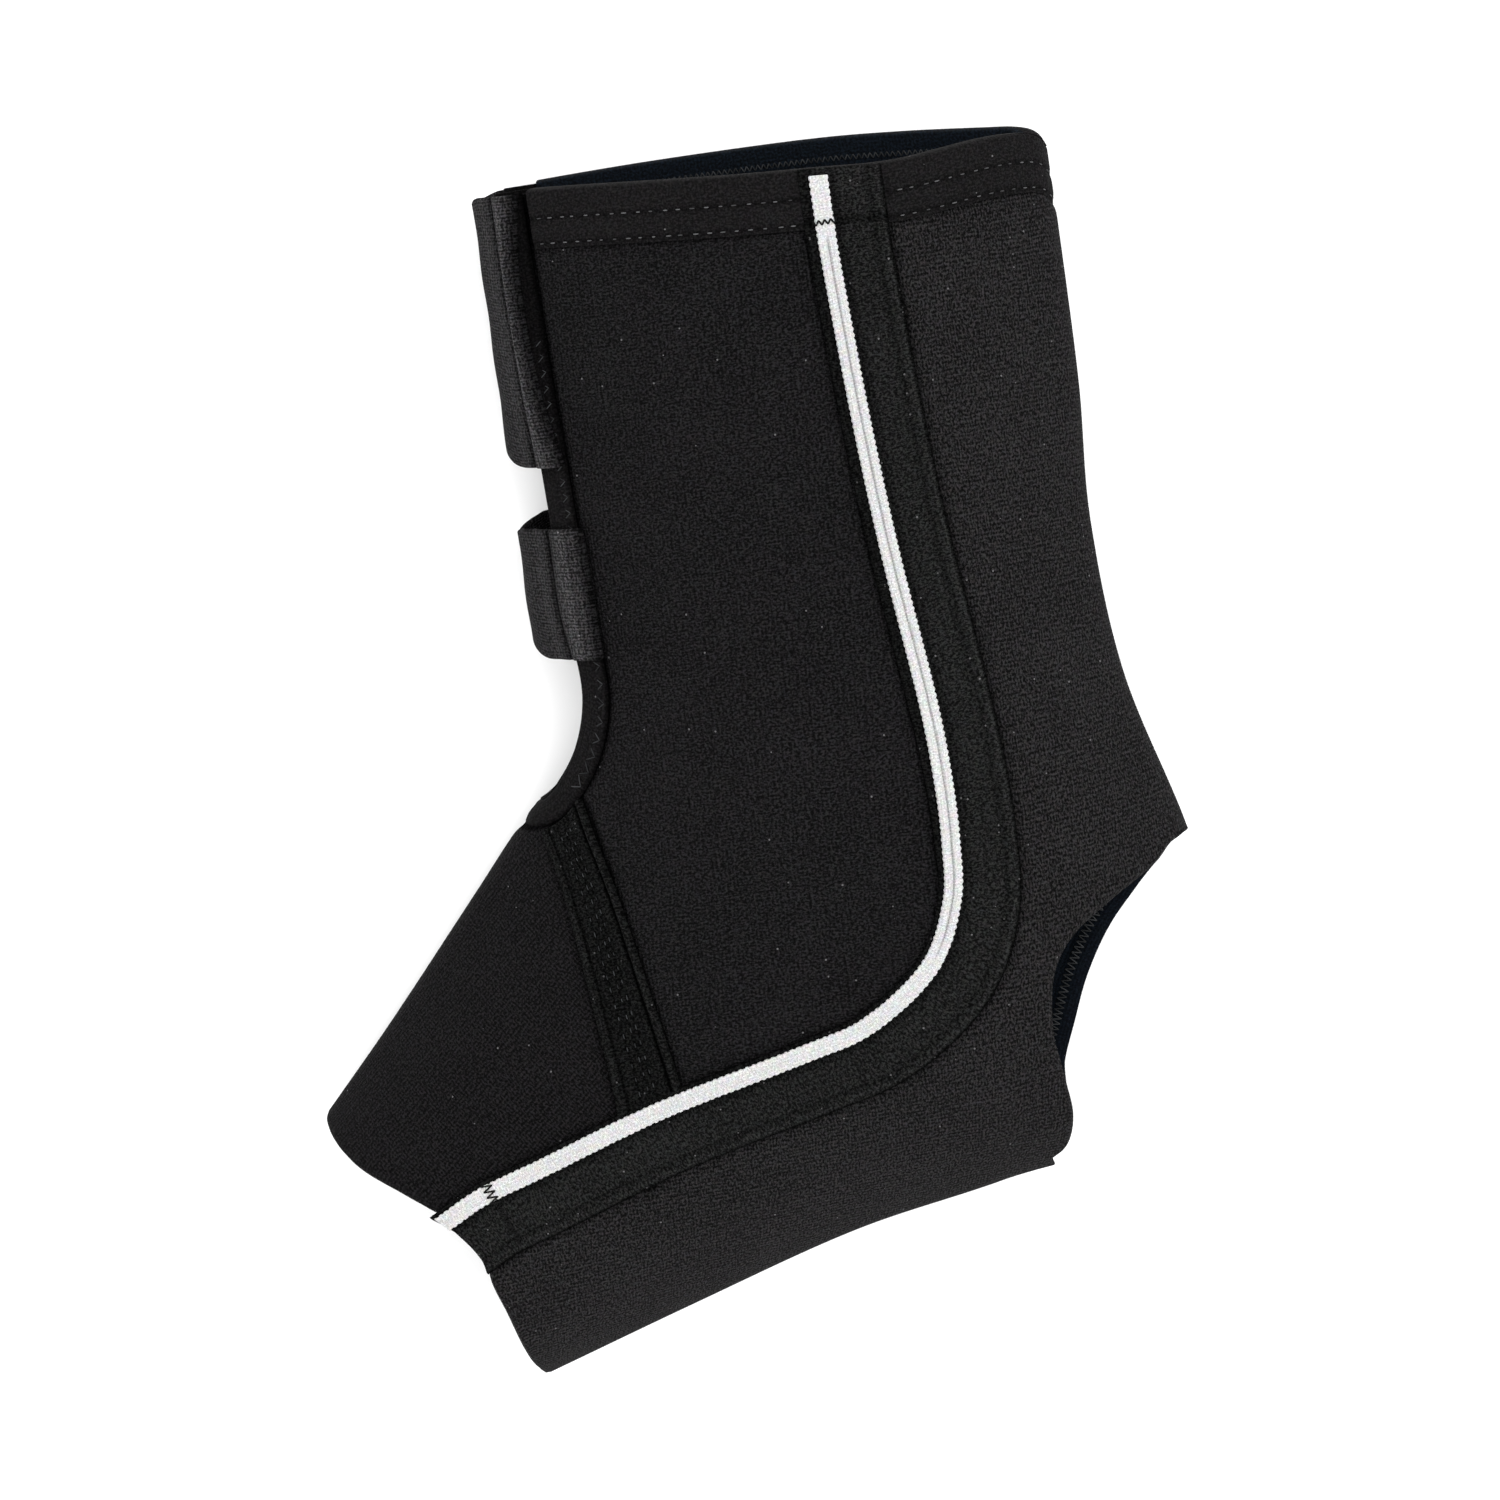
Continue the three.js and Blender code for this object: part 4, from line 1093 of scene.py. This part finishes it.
def instep_tape(name, wall):
    """Its top has a soft ridge along the front edge, a firm one between two grooves along the back edge,
    and low channels at the stitch rows. It is darker than the seam tapes, with painted highlights on both
    ridges and painted shade behind the front ridge, in the groove in front of the back ridge and in the
    channels."""
    shares = np.concatenate([np.linspace(-1, 0.6, 26)[:-1], np.linspace(0.6, 1, 13)])
    station, girth, length = instep_places(wall, shares, 110)
    top = TAPE_TOP - 0.05 + 0.3 * bell(shares + 0.85, 0.1) + 0.4 * bell(shares - 0.88, 0.075)
    top = top - 0.5 * bell(shares - 0.72, 0.05)
    shade = 0.55 + 0.2 * bell(shares + 0.85, 0.1) + 0.25 * bell(shares - 0.88, 0.07)
    shade = shade - 0.5 * bell(shares - 0.72, 0.06) - 0.4 * bell(shares + 0.66, 0.06)
    for row in INSTEP_STITCH_ROWS:
        top = top - 0.18 * bell(shares - row, 0.06)
        shade = shade - 0.25 * bell(shares - row, 0.06)
    pucker = 0.07 * np.sin(length * 2 * np.pi / INSTEP_STITCH_PITCH)
    top = top + pucker * bell(shares, 0.5)
    piece = strip_piece(name + "_cloth", (station, girth, length), shares * INSTEP_TAPE_WIDTH / 2, top,
                        TAPE_BASE - TAPE_SUNK, [black_tape], shade)
    stitch_station, stitch_girth, _ = instep_places(wall, np.array(INSTEP_STITCH_ROWS), 160)
    groups = [
        dashes(stitch_station[4:-3, row], stitch_girth[4:-3, row], TAPE_TOP - 0.1, INSTEP_STITCH_PITCH,
               INSTEP_STITCH_LENGTH, seed=row)
        for row in range(len(INSTEP_STITCH_ROWS))
    ]
    rows_of_thread = stitches(name + "_stitches", *join_stitches(groups), 0.14, dim_thread)
    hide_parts(name)


instep_tape("instep_tape_near", 1)
instep_tape("instep_tape_far", -1)

# Piping: two white cords in one flat knitted trim, 3.65 mm wide, sewn over the seam tape from the rim to
# the toes. At both ends it is flatter, and a black zigzag tack holds it down.
TRIM_WIDTH = 3.65
TRIM_BASE = 1.4
TRIM_TOP = 2.6
SCALLOP_PITCH = 1.35
SCALLOP_DEPTH = 0.08
CORD_START = 12.5
CORD_END_STATION = 6.3

white_cord = cloth_finish("white_cord", (0.455, 0.455, 0.454), contrast=0.14, rib=0.7, loop=0.675, grain=0.35,
                          specular=0.3)


def piping(name, wall, spacing):
    """Across the trim each cord is half an ellipse, with a groove between. Along it the strands make
    small slanting ripples, and the edges are scalloped, more at the back. Near the rim and on the foot
    the cords fade to a flat braid with finer teeth."""
    shares = np.sin(np.linspace(-np.pi / 2, np.pi / 2, 19))
    rows = int(300 / spacing)
    straight = shares * TRIM_WIDTH / 2
    station, girth, length = strip_on_wall(side_seam, straight, wall, rows, TRIM_BASE, -1.6, 0.3)
    middle_station = station[:, 9:10]
    middle_length = length[:, 9:10] - length[0, 9]
    corded = np.clip((middle_length - CORD_START) / 2, 0, 1)
    corded = corded * np.clip((CORD_END_STATION - middle_station) / 0.25, 0, 1)
    phase = 2 * np.pi * middle_length / SCALLOP_PITCH
    edge = 1 + SCALLOP_DEPTH * np.where(shares > 0, 1, 0.6) * np.sin(phase) * np.abs(shares)**3
    braid_edge = 1 + 0.05 * np.sign(np.sin(phase * 0.9)) * np.abs(shares)**5
    offsets = straight * (corded * edge + (1 - corded) * braid_edge)
    station, girth = places_beside(side_seam, length, offsets, wall, TRIM_BASE)
    cord = np.sqrt(np.maximum(1 - ((np.abs(shares) - 0.5) / 0.52)**2, 0))
    ripple = 0.1 * np.sin(phase * 2 + np.sign(shares) * shares * 5)
    cords = 0.35 + 0.85 * cord + ripple * cord
    braid = 0.62 + 0.12 * cord + 0.1 * np.sin(phase * 1.7 + shares * 9) * (1 - shares**4) - 0.2 * shares**6
    top = TRIM_BASE + corded * cords + (1 - corded) * braid
    lift = over_hem(station, girth, wall)
    # Painted shade darkens the groove between the cords, and painted light and shade run along the slanting
    # ripples.
    shade = 1 - 0.42 * bell(shares, 0.13) * corded - 0.1 * np.sin(phase * 2 + shares * 5) * corded
    piece = strip_piece(name + "_cords", (station, girth, length), offsets, top + lift,
                        TRIM_BASE - 0.35 + lift, [white_cord], shade, roundness=0.12)
    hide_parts(name)


piping("trim_near", 1, 0.225)
piping("trim_far", -1, 0.45)


def zigzag(station, girth, out, cross_station, cross_girth):
    """Stitches that go to and fro between two lines of places."""
    first = on_sleeve(station, girth, out)
    second = on_sleeve(cross_station, cross_girth, out)
    path = np.where((np.arange(len(first)) % 2 == 0)[:, None], first, second)
    above = on_sleeve(station, girth, np.asarray(out) + 1) - first
    return path[:-1], path[1:], above[:-1]


TACKS = [
    {"length": 11.3, "turns": 9, "height": 1.2, "from": -2.5, "to": 2.5, "out": TRIM_TOP - 0.35},
    {"length": 281.5, "turns": 9, "height": 2.6, "from": -2.7, "to": 2.7, "out": TRIM_TOP - 0.35},
    {"length": 281.5, "turns": 15, "height": 1.4, "from": 3.2, "to": 13.4, "out": TAPE_TOP + 0.1},
]


def tack_places(wall, tack, offsets, shift):
    """Places across the piping at a length along it from the rim."""
    start = strip_on_wall(side_seam, np.array([0.0]), wall, 2, TRIM_BASE)[2][0, 0]
    return places_beside(side_seam, start + tack["length"] + shift, offsets, wall, TRIM_BASE)


for wall, side in ((1, "near"), (-1, "far")):
    groups = []
    for tack in TACKS:
        offsets = np.linspace(tack["from"], tack["to"], tack["turns"])
        upper = tack_places(wall, tack, offsets, -tack["height"] / 2)
        lower = tack_places(wall, tack, offsets, tack["height"] / 2)
        groups.append(zigzag(*upper, tack["out"] + over_hem(*upper, wall), *lower))
    tacks = stitches("tacks_" + side, *join_stitches(groups), 0.2, black_thread)

# Hem: one smooth black tape folded over the rim, 12.5 mm deep outside and inside, from the binding on
# one side of the slit round to the other. Two rows of light grey stitches hold it down.
HEM_STITCH_DROPS = [6.2, 11.6]
HEM_STITCH_PITCH = 3.0
HEM_STITCH_LENGTH = 0.95
INSIDE_STITCH_DROP = 4.5
INSIDE_TAPE_TOP = -5.1
INSIDE_TAPE_BASE = -4.2
HEM_ROUND_LENGTH = 270

smooth_tape = cloth_finish("smooth_tape", (0.0042, 0.0039, 0.0041), contrast=0.6, rib=0.8, loop=0.8,
                           depth=0.03, lint=0.02, ribbing=0.05)


def leg_station(girth, height):
    """Station on the leg at a girth and a drawing height (y), halved in on."""
    low = np.zeros(np.broadcast(girth, height).shape)
    high = np.full(low.shape, 4.9)
    for _ in range(30):
        station = (low + high) / 2
        above = on_sleeve(station, girth, 0)[..., 1] > height
        low = np.where(above, station, low)
        high = np.where(above, high, station)
    return station


def below_rim(girth, drop):
    """Station at a drop below the rim."""
    rim_height = on_sleeve(rim_station(girth), girth, 0)[..., 1]
    return leg_station(girth, rim_height - drop)


def hem_ends():
    """Girths where the hem meets the binding, on the near wall and, counted on over the back, the far."""
    station, girth = line_on_wall(slit_edge, 1, -1, BINDING_WIDTH + 0.3)
    far_station, far_girth = line_on_wall(slit_edge, -1, -1, BINDING_WIDTH + 0.3)
    return np.interp(0.4, station, girth), np.interp(0.4, far_station, far_girth) + 4


def fold_profile(width, count, outside_out, top=1.7):
    """Profile of a tape folded over an edge, from its outer edge over the fold to its inner edge: places
    back from the foam's edge and distances out of the foam, for the tape's outer face and inner face. The
    fold is half an ellipse round the foam's rounded edge."""
    leg = np.linspace(width, 0.6, count)
    turn = np.linspace(0, np.pi, 15)[1:-1]
    lining = np.linspace(0.6, width, 9)
    back = [np.concatenate([leg, 0.6 - reach * np.sin(turn), lining]) for reach in (top, top - 0.8)]
    outer = np.concatenate([outside_out(leg), -2 + 3.1 * np.cos(turn), np.full(9, INSIDE_TAPE_TOP)])
    inner = np.concatenate([np.full(count, 0.2), -2 + 2.2 * np.cos(turn), np.full(9, INSIDE_TAPE_BASE)])
    return back[0], outer, back[1], inner


def hem_outside(drop):
    """Height of the hem's outer face: lower along both rows of stitches and at its lower edge."""
    channels = sum(0.24 * bell(drop - row, 0.9) for row in HEM_STITCH_DROPS)
    return TAPE_TOP - channels - 0.3 * bell(drop - HEM_WIDTH, 0.7)


def folded_hem():
    """The fold's profile, carried round the rim. Outside, the stitches draw in small waves as a sine, and
    the back fold is pressed in as a bell curve."""
    columns = 430
    drops, outs, inner_drops, inner_outs = fold_profile(HEM_WIDTH, 26, hem_outside, top=0.8)
    girth = np.linspace(*hem_ends(), columns)[:, None]
    passed = np.linspace(0, 1, columns)[:, None] * HEM_ROUND_LENGTH
    puckers = 0.07 * np.sin(passed * 2 * np.pi / HEM_STITCH_PITCH) * bell(drops - 9, 4) * (outs > 0)
    pressed = HEM_PRESS * bell(girth - 1, HEM_PRESS_REACH) * (outs > 0)
    outer = on_sleeve(below_rim(girth, drops), girth, outs + puckers - pressed)
    inner = on_sleeve(below_rim(girth, inner_drops), girth, inner_outs - pressed)
    # Painted shade darkens the sunken channels along both rows of stitches.
    rows = sum(bell(drops - row, 0.5) for row in HEM_STITCH_DROPS) * (outs > 0)
    piece = net_piece("hem_tape_cloth", outer, inner, (passed, drops), [smooth_tape, lining_knit],
                      1 - 0.45 * rows, lined_past=np.flatnonzero(outs > -3).max())
    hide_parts("hem_tape")


folded_hem()

hem_girth = np.linspace(*hem_ends(), 900)
from_seam = beside_path(side_seam, on_sleeve(rim_station(hem_girth) + 0.2, hem_girth, 0)[:, :2])[0]
beside_tape = (from_seam < SEAM_TAPE_FRONT - 1) | (from_seam > SEAM_TAPE_BACK - TAPE_BACK_TUCK + 1)
hem_groups = []
for row, drop in enumerate(HEM_STITCH_DROPS):
    for wall in (1, -1):
        on_wall = (hem_girth < 1) if wall > 0 else (hem_girth >= 1)
        clear = np.flatnonzero(on_wall & beside_tape)
        for part in np.split(clear, np.flatnonzero(np.diff(clear) > 1) + 1):
            girth = hem_girth[part]
            height = TAPE_TOP - 0.14 - HEM_PRESS * bell(girth - 1, HEM_PRESS_REACH)
            hem_groups.append(dashes(below_rim(girth, drop), girth, height, HEM_STITCH_PITCH,
                                     HEM_STITCH_LENGTH, seed=10 * row + wall + 3))
hem_stitches = stitches("hem_stitches", *join_stitches(hem_groups), 0.15, grey_thread)

inside_girth = np.linspace(*hem_ends(), 380)
inside_zigzag = zigzag(
    below_rim(inside_girth, INSIDE_STITCH_DROP - 0.6), inside_girth, -5.2,
    below_rim(inside_girth, INSIDE_STITCH_DROP + 0.6), inside_girth,
)
inside_stitches = stitches("hem_inside_stitches", inside_zigzag[0], inside_zigzag[1], -inside_zigzag[2], 0.13,
                           dim_thread)

# Binding: a smooth black tape folded over the edge of the front slit, down one side, round the slit's
# lower end and up the other. A zigzag of grey thread runs on its outer face, near the sewn edge.
BINDING_ZIGZAG_PITCH = 3.5
BINDING_ZIGZAG_FROM = 3.9
BINDING_ZIGZAG_TO = 6.1
BINDING_PRESS = 0.95
BINDING_ROWS = 330
ROW_SPACING = 0.9


def walk_aside(station, girth, distance, closed=False, stride=1.2):
    """Moves a line on the sleeve sideways along the surface, to its left seen from outside. Each stride is
    square to the line and the surface, and is turned into station and girth by the surface's slopes."""
    strides = max(int(math.ceil(abs(distance) / stride)), 1)
    for _ in range(strides if distance else 0):
        here = on_sleeve(station, girth, 0)
        up = on_sleeve(station, girth, 1) - here
        if closed:
            along = np.roll(here, -1, axis=0) - np.roll(here, 1, axis=0)
        else:
            along = np.gradient(here, axis=0)
        aside = np.cross(up, along)
        aside *= (distance / strides / np.linalg.norm(aside, axis=1))[:, None]
        by_station = (on_sleeve(station + 0.004, girth, 0) - on_sleeve(station - 0.004, girth, 0)) / 0.008
        by_girth = (on_sleeve(station, girth + 0.004, 0) - on_sleeve(station, girth - 0.004, 0)) / 0.008
        ss, sg, gg = (by_station**2).sum(1), (by_station * by_girth).sum(1), (by_girth**2).sum(1)
        sa, ga = (by_station * aside).sum(1), (by_girth * aside).sum(1)
        scale = ss * gg - sg**2
        station = station + (sa * gg - ga * sg) / scale
        girth = girth + (ga * ss - sa * sg) / scale
    return station, girth


def slit_line(count):
    """The slit's edge from the rim down the near wall, round its lower end, and up the far wall."""
    near, far = slit_on[1], slit_on[-1]
    station = np.concatenate([near[0], far[0][::-1]])
    girth = np.concatenate([near[1], far[1][::-1]])
    inside = station > rim_station(girth) + 0.005
    return even_places(station[inside], girth[inside], count)


def beside_line(station, girth, distances, closed=False):
    """Places at several distances beside a line on the sleeve, as rows along it."""
    lines = [walk_aside(station, girth, distance, closed) for distance in distances]
    return np.stack([line[0] for line in lines], axis=1), np.stack([line[1] for line in lines], axis=1)


def binding_outside(back):
    """Height of the binding's outer face: padded along its middle and drawn in at its sewn edge."""
    return TAPE_TOP + 0.22 * bell(back - 3.4, 1.6) - 0.45 * bell(back - BINDING_WIDTH, 0.6)


def front_binding():
    """The fold's profile, carried along the slit. Outside, the stitches draw in small waves as a sine, and
    the slit's lower end is pressed in as a bell curve. It is a little darker than the hem, painted shade
    darkens its sewn edge, and beside the upper band it is darkened by that band's painted shadow."""
    line = slit_line(BINDING_ROWS)
    backs, outs, inner_backs, inner_outs = fold_profile(BINDING_WIDTH, 16, binding_outside)
    station, girth = beside_line(*line, backs)
    inner_station, inner_girth = beside_line(*line, inner_backs)
    passed = np.arange(BINDING_ROWS)[:, None] * ROW_SPACING
    puckers = 0.05 * np.sin(passed * 2 * np.pi / BINDING_ZIGZAG_PITCH) * bell(backs - 5, 2) * (outs > 0)
    from_end = np.linspace(-1, 1, BINDING_ROWS)[:, None]
    pressed = BINDING_PRESS * bell(from_end, 0.11) * (outs > 0)
    outer = on_sleeve(station, girth, outs + puckers - pressed)
    inner = on_sleeve(inner_station, inner_girth, inner_outs - pressed / 2)
    # Painted shadow of the upper band over the binding, and painted shade at the sewn edge.
    band_shadow = np.clip((2.2 - station) / 0.5, 0, 1)
    shade = (0.85 - 0.5 * bell(backs - BINDING_WIDTH, 0.5)) * (1 - 0.5 * band_shadow)
    piece = net_piece("front_binding_cloth", outer, inner, (backs, passed), [smooth_tape], shade)
    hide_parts("front_binding")
    around = steps_of(on_sleeve(*line, 0)).sum()


front_binding()
binding_line = slit_line(int(BINDING_ROWS * ROW_SPACING / BINDING_ZIGZAG_PITCH * 2))
binding_zigzag = zigzag(
    *walk_aside(*binding_line, BINDING_ZIGZAG_FROM), TAPE_TOP - 0.05,
    *walk_aside(*binding_line, BINDING_ZIGZAG_TO),
)
off_fold = (np.abs(binding_line[1][:-1] + 1) > 0.12) & (binding_line[0][:-1] > 1.3)
binding_zigzag = [part[off_fold] for part in binding_zigzag]
binding_stitches = stitches("binding_stitches", *binding_zigzag, 0.15, dim_thread)

# Heel facing: a smooth dark tape, 10 mm wide, sewn inside the foam all round the heel opening, with a
# rough zigzag along its middle.
FACING_WIDTH = 10
FACING_STITCH_FROM = 3.4
FACING_STITCH_TO = 5.6

facing_cloth = cloth_finish("facing_cloth", (0.002, 0.0032, 0.0052), contrast=0.4, rib=0.8, loop=0.8,
                            depth=0.03)


def heel_line(count):
    """The heel opening's edge: down the near wall and up the far wall, as a closed line."""
    near, far = heel_on[1], heel_on[-1]
    station, girth = even_places(
        np.concatenate([near[0], far[0][::-1], near[0][:1]]),
        np.concatenate([near[1], far[1][::-1], near[1][:1]]),
        count + 1,
    )
    return station[:-1], girth[:-1]


def heel_facing():
    """A closed strip inside the foam. Along the zigzag its face is darker and stands a little further into
    the sleeve, as bell curves."""
    rows = 230
    line = heel_line(rows)
    distances = np.linspace(-0.6, -FACING_WIDTH, 12)
    station, girth = beside_line(*line, distances, closed=True)
    at_zigzag = bell(distances + 4.5, 1.6)
    outer = on_sleeve(station, girth, INSIDE_TAPE_TOP - 0.35 * at_zigzag)
    inner = on_sleeve(station, girth, INSIDE_TAPE_BASE)
    passed = np.arange(rows)[:, None] * ROW_SPACING
    piece = net_piece("heel_facing_cloth", outer, inner, (distances, passed), [facing_cloth],
                      1 - 0.6 * at_zigzag, closed=True)
    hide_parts("heel_facing")
    around = steps_of(on_sleeve(*line, 0)).sum()


heel_facing()
facing_line = heel_line(330)
facing_zigzag = zigzag(
    *walk_aside(*facing_line, -FACING_STITCH_FROM, closed=True), -5.5,
    *walk_aside(*facing_line, -FACING_STITCH_TO, closed=True),
)
facing_stitches = stitches("facing_stitches", facing_zigzag[0], facing_zigzag[1], -facing_zigzag[2], 0.16,
                           dim_thread)

# Elastic bands: ribbed grey-black webbing that bridges the slit, 58 mm and 28 mm wide. Each is sewn to
# the near wall, runs round the front fold free of the sleeve, and is sewn to the far wall.
BAND_BASE = 1.4
BAND_THICKNESS = 1.2
BAND_PULL = 1.4
UPPER_BAND_END = [
    (0, -0.81), (0.4, -0.828), (0.8, -0.856), (1.2, -0.858), (1.65, -0.838), (2.1, -0.785), (2.6, -0.75),
]
LOWER_BAND_END = [(2.1, -0.757), (2.5, -0.752), (3.55, -0.741), (4, -0.735)]
BANDS = [
    {"name": "upper_band", "drop": 1, "width": 58, "end": UPPER_BAND_END, "top_corner": 1.6,
     "bottom_corner": 4.5, "slant": 1.6, "swell": 1.7},
    {"name": "lower_band", "drop": 73, "width": 28, "end": LOWER_BAND_END, "top_corner": 1.0,
     "bottom_corner": 4.5, "slant": 2.6, "swell": 1.0},
]

webbing = cloth_finish("webbing", (0.0135, 0.013, 0.0137), contrast=0.9, rib=0.7, loop=1.1, depth=0.1,
                       lint=0.06, ribbing=0.25, specular=0.1)


def corner_rise(inset, radius):
    """How far a rounded corner's edge has turned in, at a distance in from the silhouette: a quarter
    circle of that radius."""
    left = np.clip(radius - inset, 0, radius)
    return radius - np.sqrt(radius**2 - left**2)


def millimetres_of_girth(station, girth):
    """Length of one unit of girth along the sleeve at a place, from a small step both ways."""
    step = on_sleeve(station, girth + 0.01, 0) - on_sleeve(station, girth - 0.01, 0)
    return np.linalg.norm(step, axis=-1) / 0.02


def elastic_band(name, drop, width, end, top_corner, bottom_corner, slant, swell):
    """The net runs round the fold from the near end to the far end, and down from the upper to the lower
    edge. Both edges turn in at the fold as rounded corners, and the far half slants up. On the near wall
    the webbing dips along the slit's edge and swells between that and its sewn end."""
    end_line = plan_path(end)
    ends = {wall: line_on_wall(end_line, wall, -1) for wall in (1, -1)}
    rows = 84
    share = np.linspace(0, 1, int(width) + 5)[None, :]
    around = np.linspace(0, 1, rows)[:, None]
    station = np.broadcast_to(below_rim(np.array(-0.95), drop + width * share), (rows, share.size))
    for _ in range(4):
        near, far = girth_on(ends[1], station), girth_on(ends[-1], station)
        girth = near + (far - near) * around
        across, _ = outline(station, girth, 0)
        inset = np.where(girth < -1, 0, section(station)[2] - np.abs(across))
        far_share = np.clip((-1 - girth) / 0.14, 0, 1)
        top = drop + corner_rise(inset, top_corner) - slant * far_share
        bottom = drop + width - corner_rise(inset, bottom_corner) - slant * far_share
        station = below_rim(girth, top + (bottom - top) * share)
    slit_near, slit_far = girth_on(slit_on[1], station), girth_on(slit_on[-1], station)
    quarter = millimetres_of_girth(station, girth)
    from_crease = (girth - slit_near) * quarter
    to_end = (near - slit_near) * quarter
    near_share = np.clip(from_crease / np.maximum(to_end, 0.1), 0, 1)
    swelling = swell * np.sin(np.pi * near_share)**0.8
    crease = 0.7 * bell(from_crease, 0.8) + 0.35 * bell((girth - slit_far) * quarter, 0.8)
    pressed = 0.45 * bell((near - girth) * quarter, 0.9) + 0.45 * bell((girth - far) * quarter, 0.9)
    ripple = 0.12 * np.sin(share * width / 3.1 + 5 * around) * np.sin(np.pi * around)
    lift = swelling - crease - pressed + ripple
    from_edges = np.minimum(slit_near - girth, girth - slit_far) * quarter
    lift = np.where(girth > -1, lift, np.minimum(lift, 0)) - BAND_PULL * np.clip(from_edges / 5, 0, 1)
    outer = on_sleeve(station, girth, BAND_BASE + BAND_THICKNESS + lift)
    inner = on_sleeve(station, girth, BAND_BASE + lift)
    length = np.cumsum(np.linalg.norm(np.diff(outer, axis=0, prepend=outer[:1]), axis=-1), axis=0)
    # Painted light and shade: the webbing is set darker, with a painted highlight on the swelling strip
    # between the crease and the sewn end and another just outside the crease, and painted shade in the crease
    # and by the near sewn end. A darker line crosses the strip at 0.68 of the way to the sewn end.
    shade = 0.8 + 0.9 * np.sin(np.pi * near_share)**2 - 0.6 * bell(from_crease, 0.7)
    shade = shade - 0.5 * bell(near_share - 0.68, 0.06) - 0.5 * bell((near - girth) * quarter, 1.1)
    shade = shade + 0.25 * bell(from_crease + 4, 2.2)
    piece = net_piece(name + "_webbing", outer, inner, (share * width, length), [webbing], shade,
                      roundness=0.35, steps=4)
    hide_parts(name)
    thread_girth = near[0] - 0.9 / quarter[0]
    cross_girth = near[0] - 2.4 / quarter[0]
    step = slice(2, -2)
    tacked = zigzag(station[0, step], thread_girth[step], BAND_BASE + BAND_THICKNESS - 0.25,
                    station[0, step], cross_girth[step])
    threads = stitches(name + "_stitches", *tacked, 0.16, black_thread)


for band in BANDS:
    elastic_band(**band)
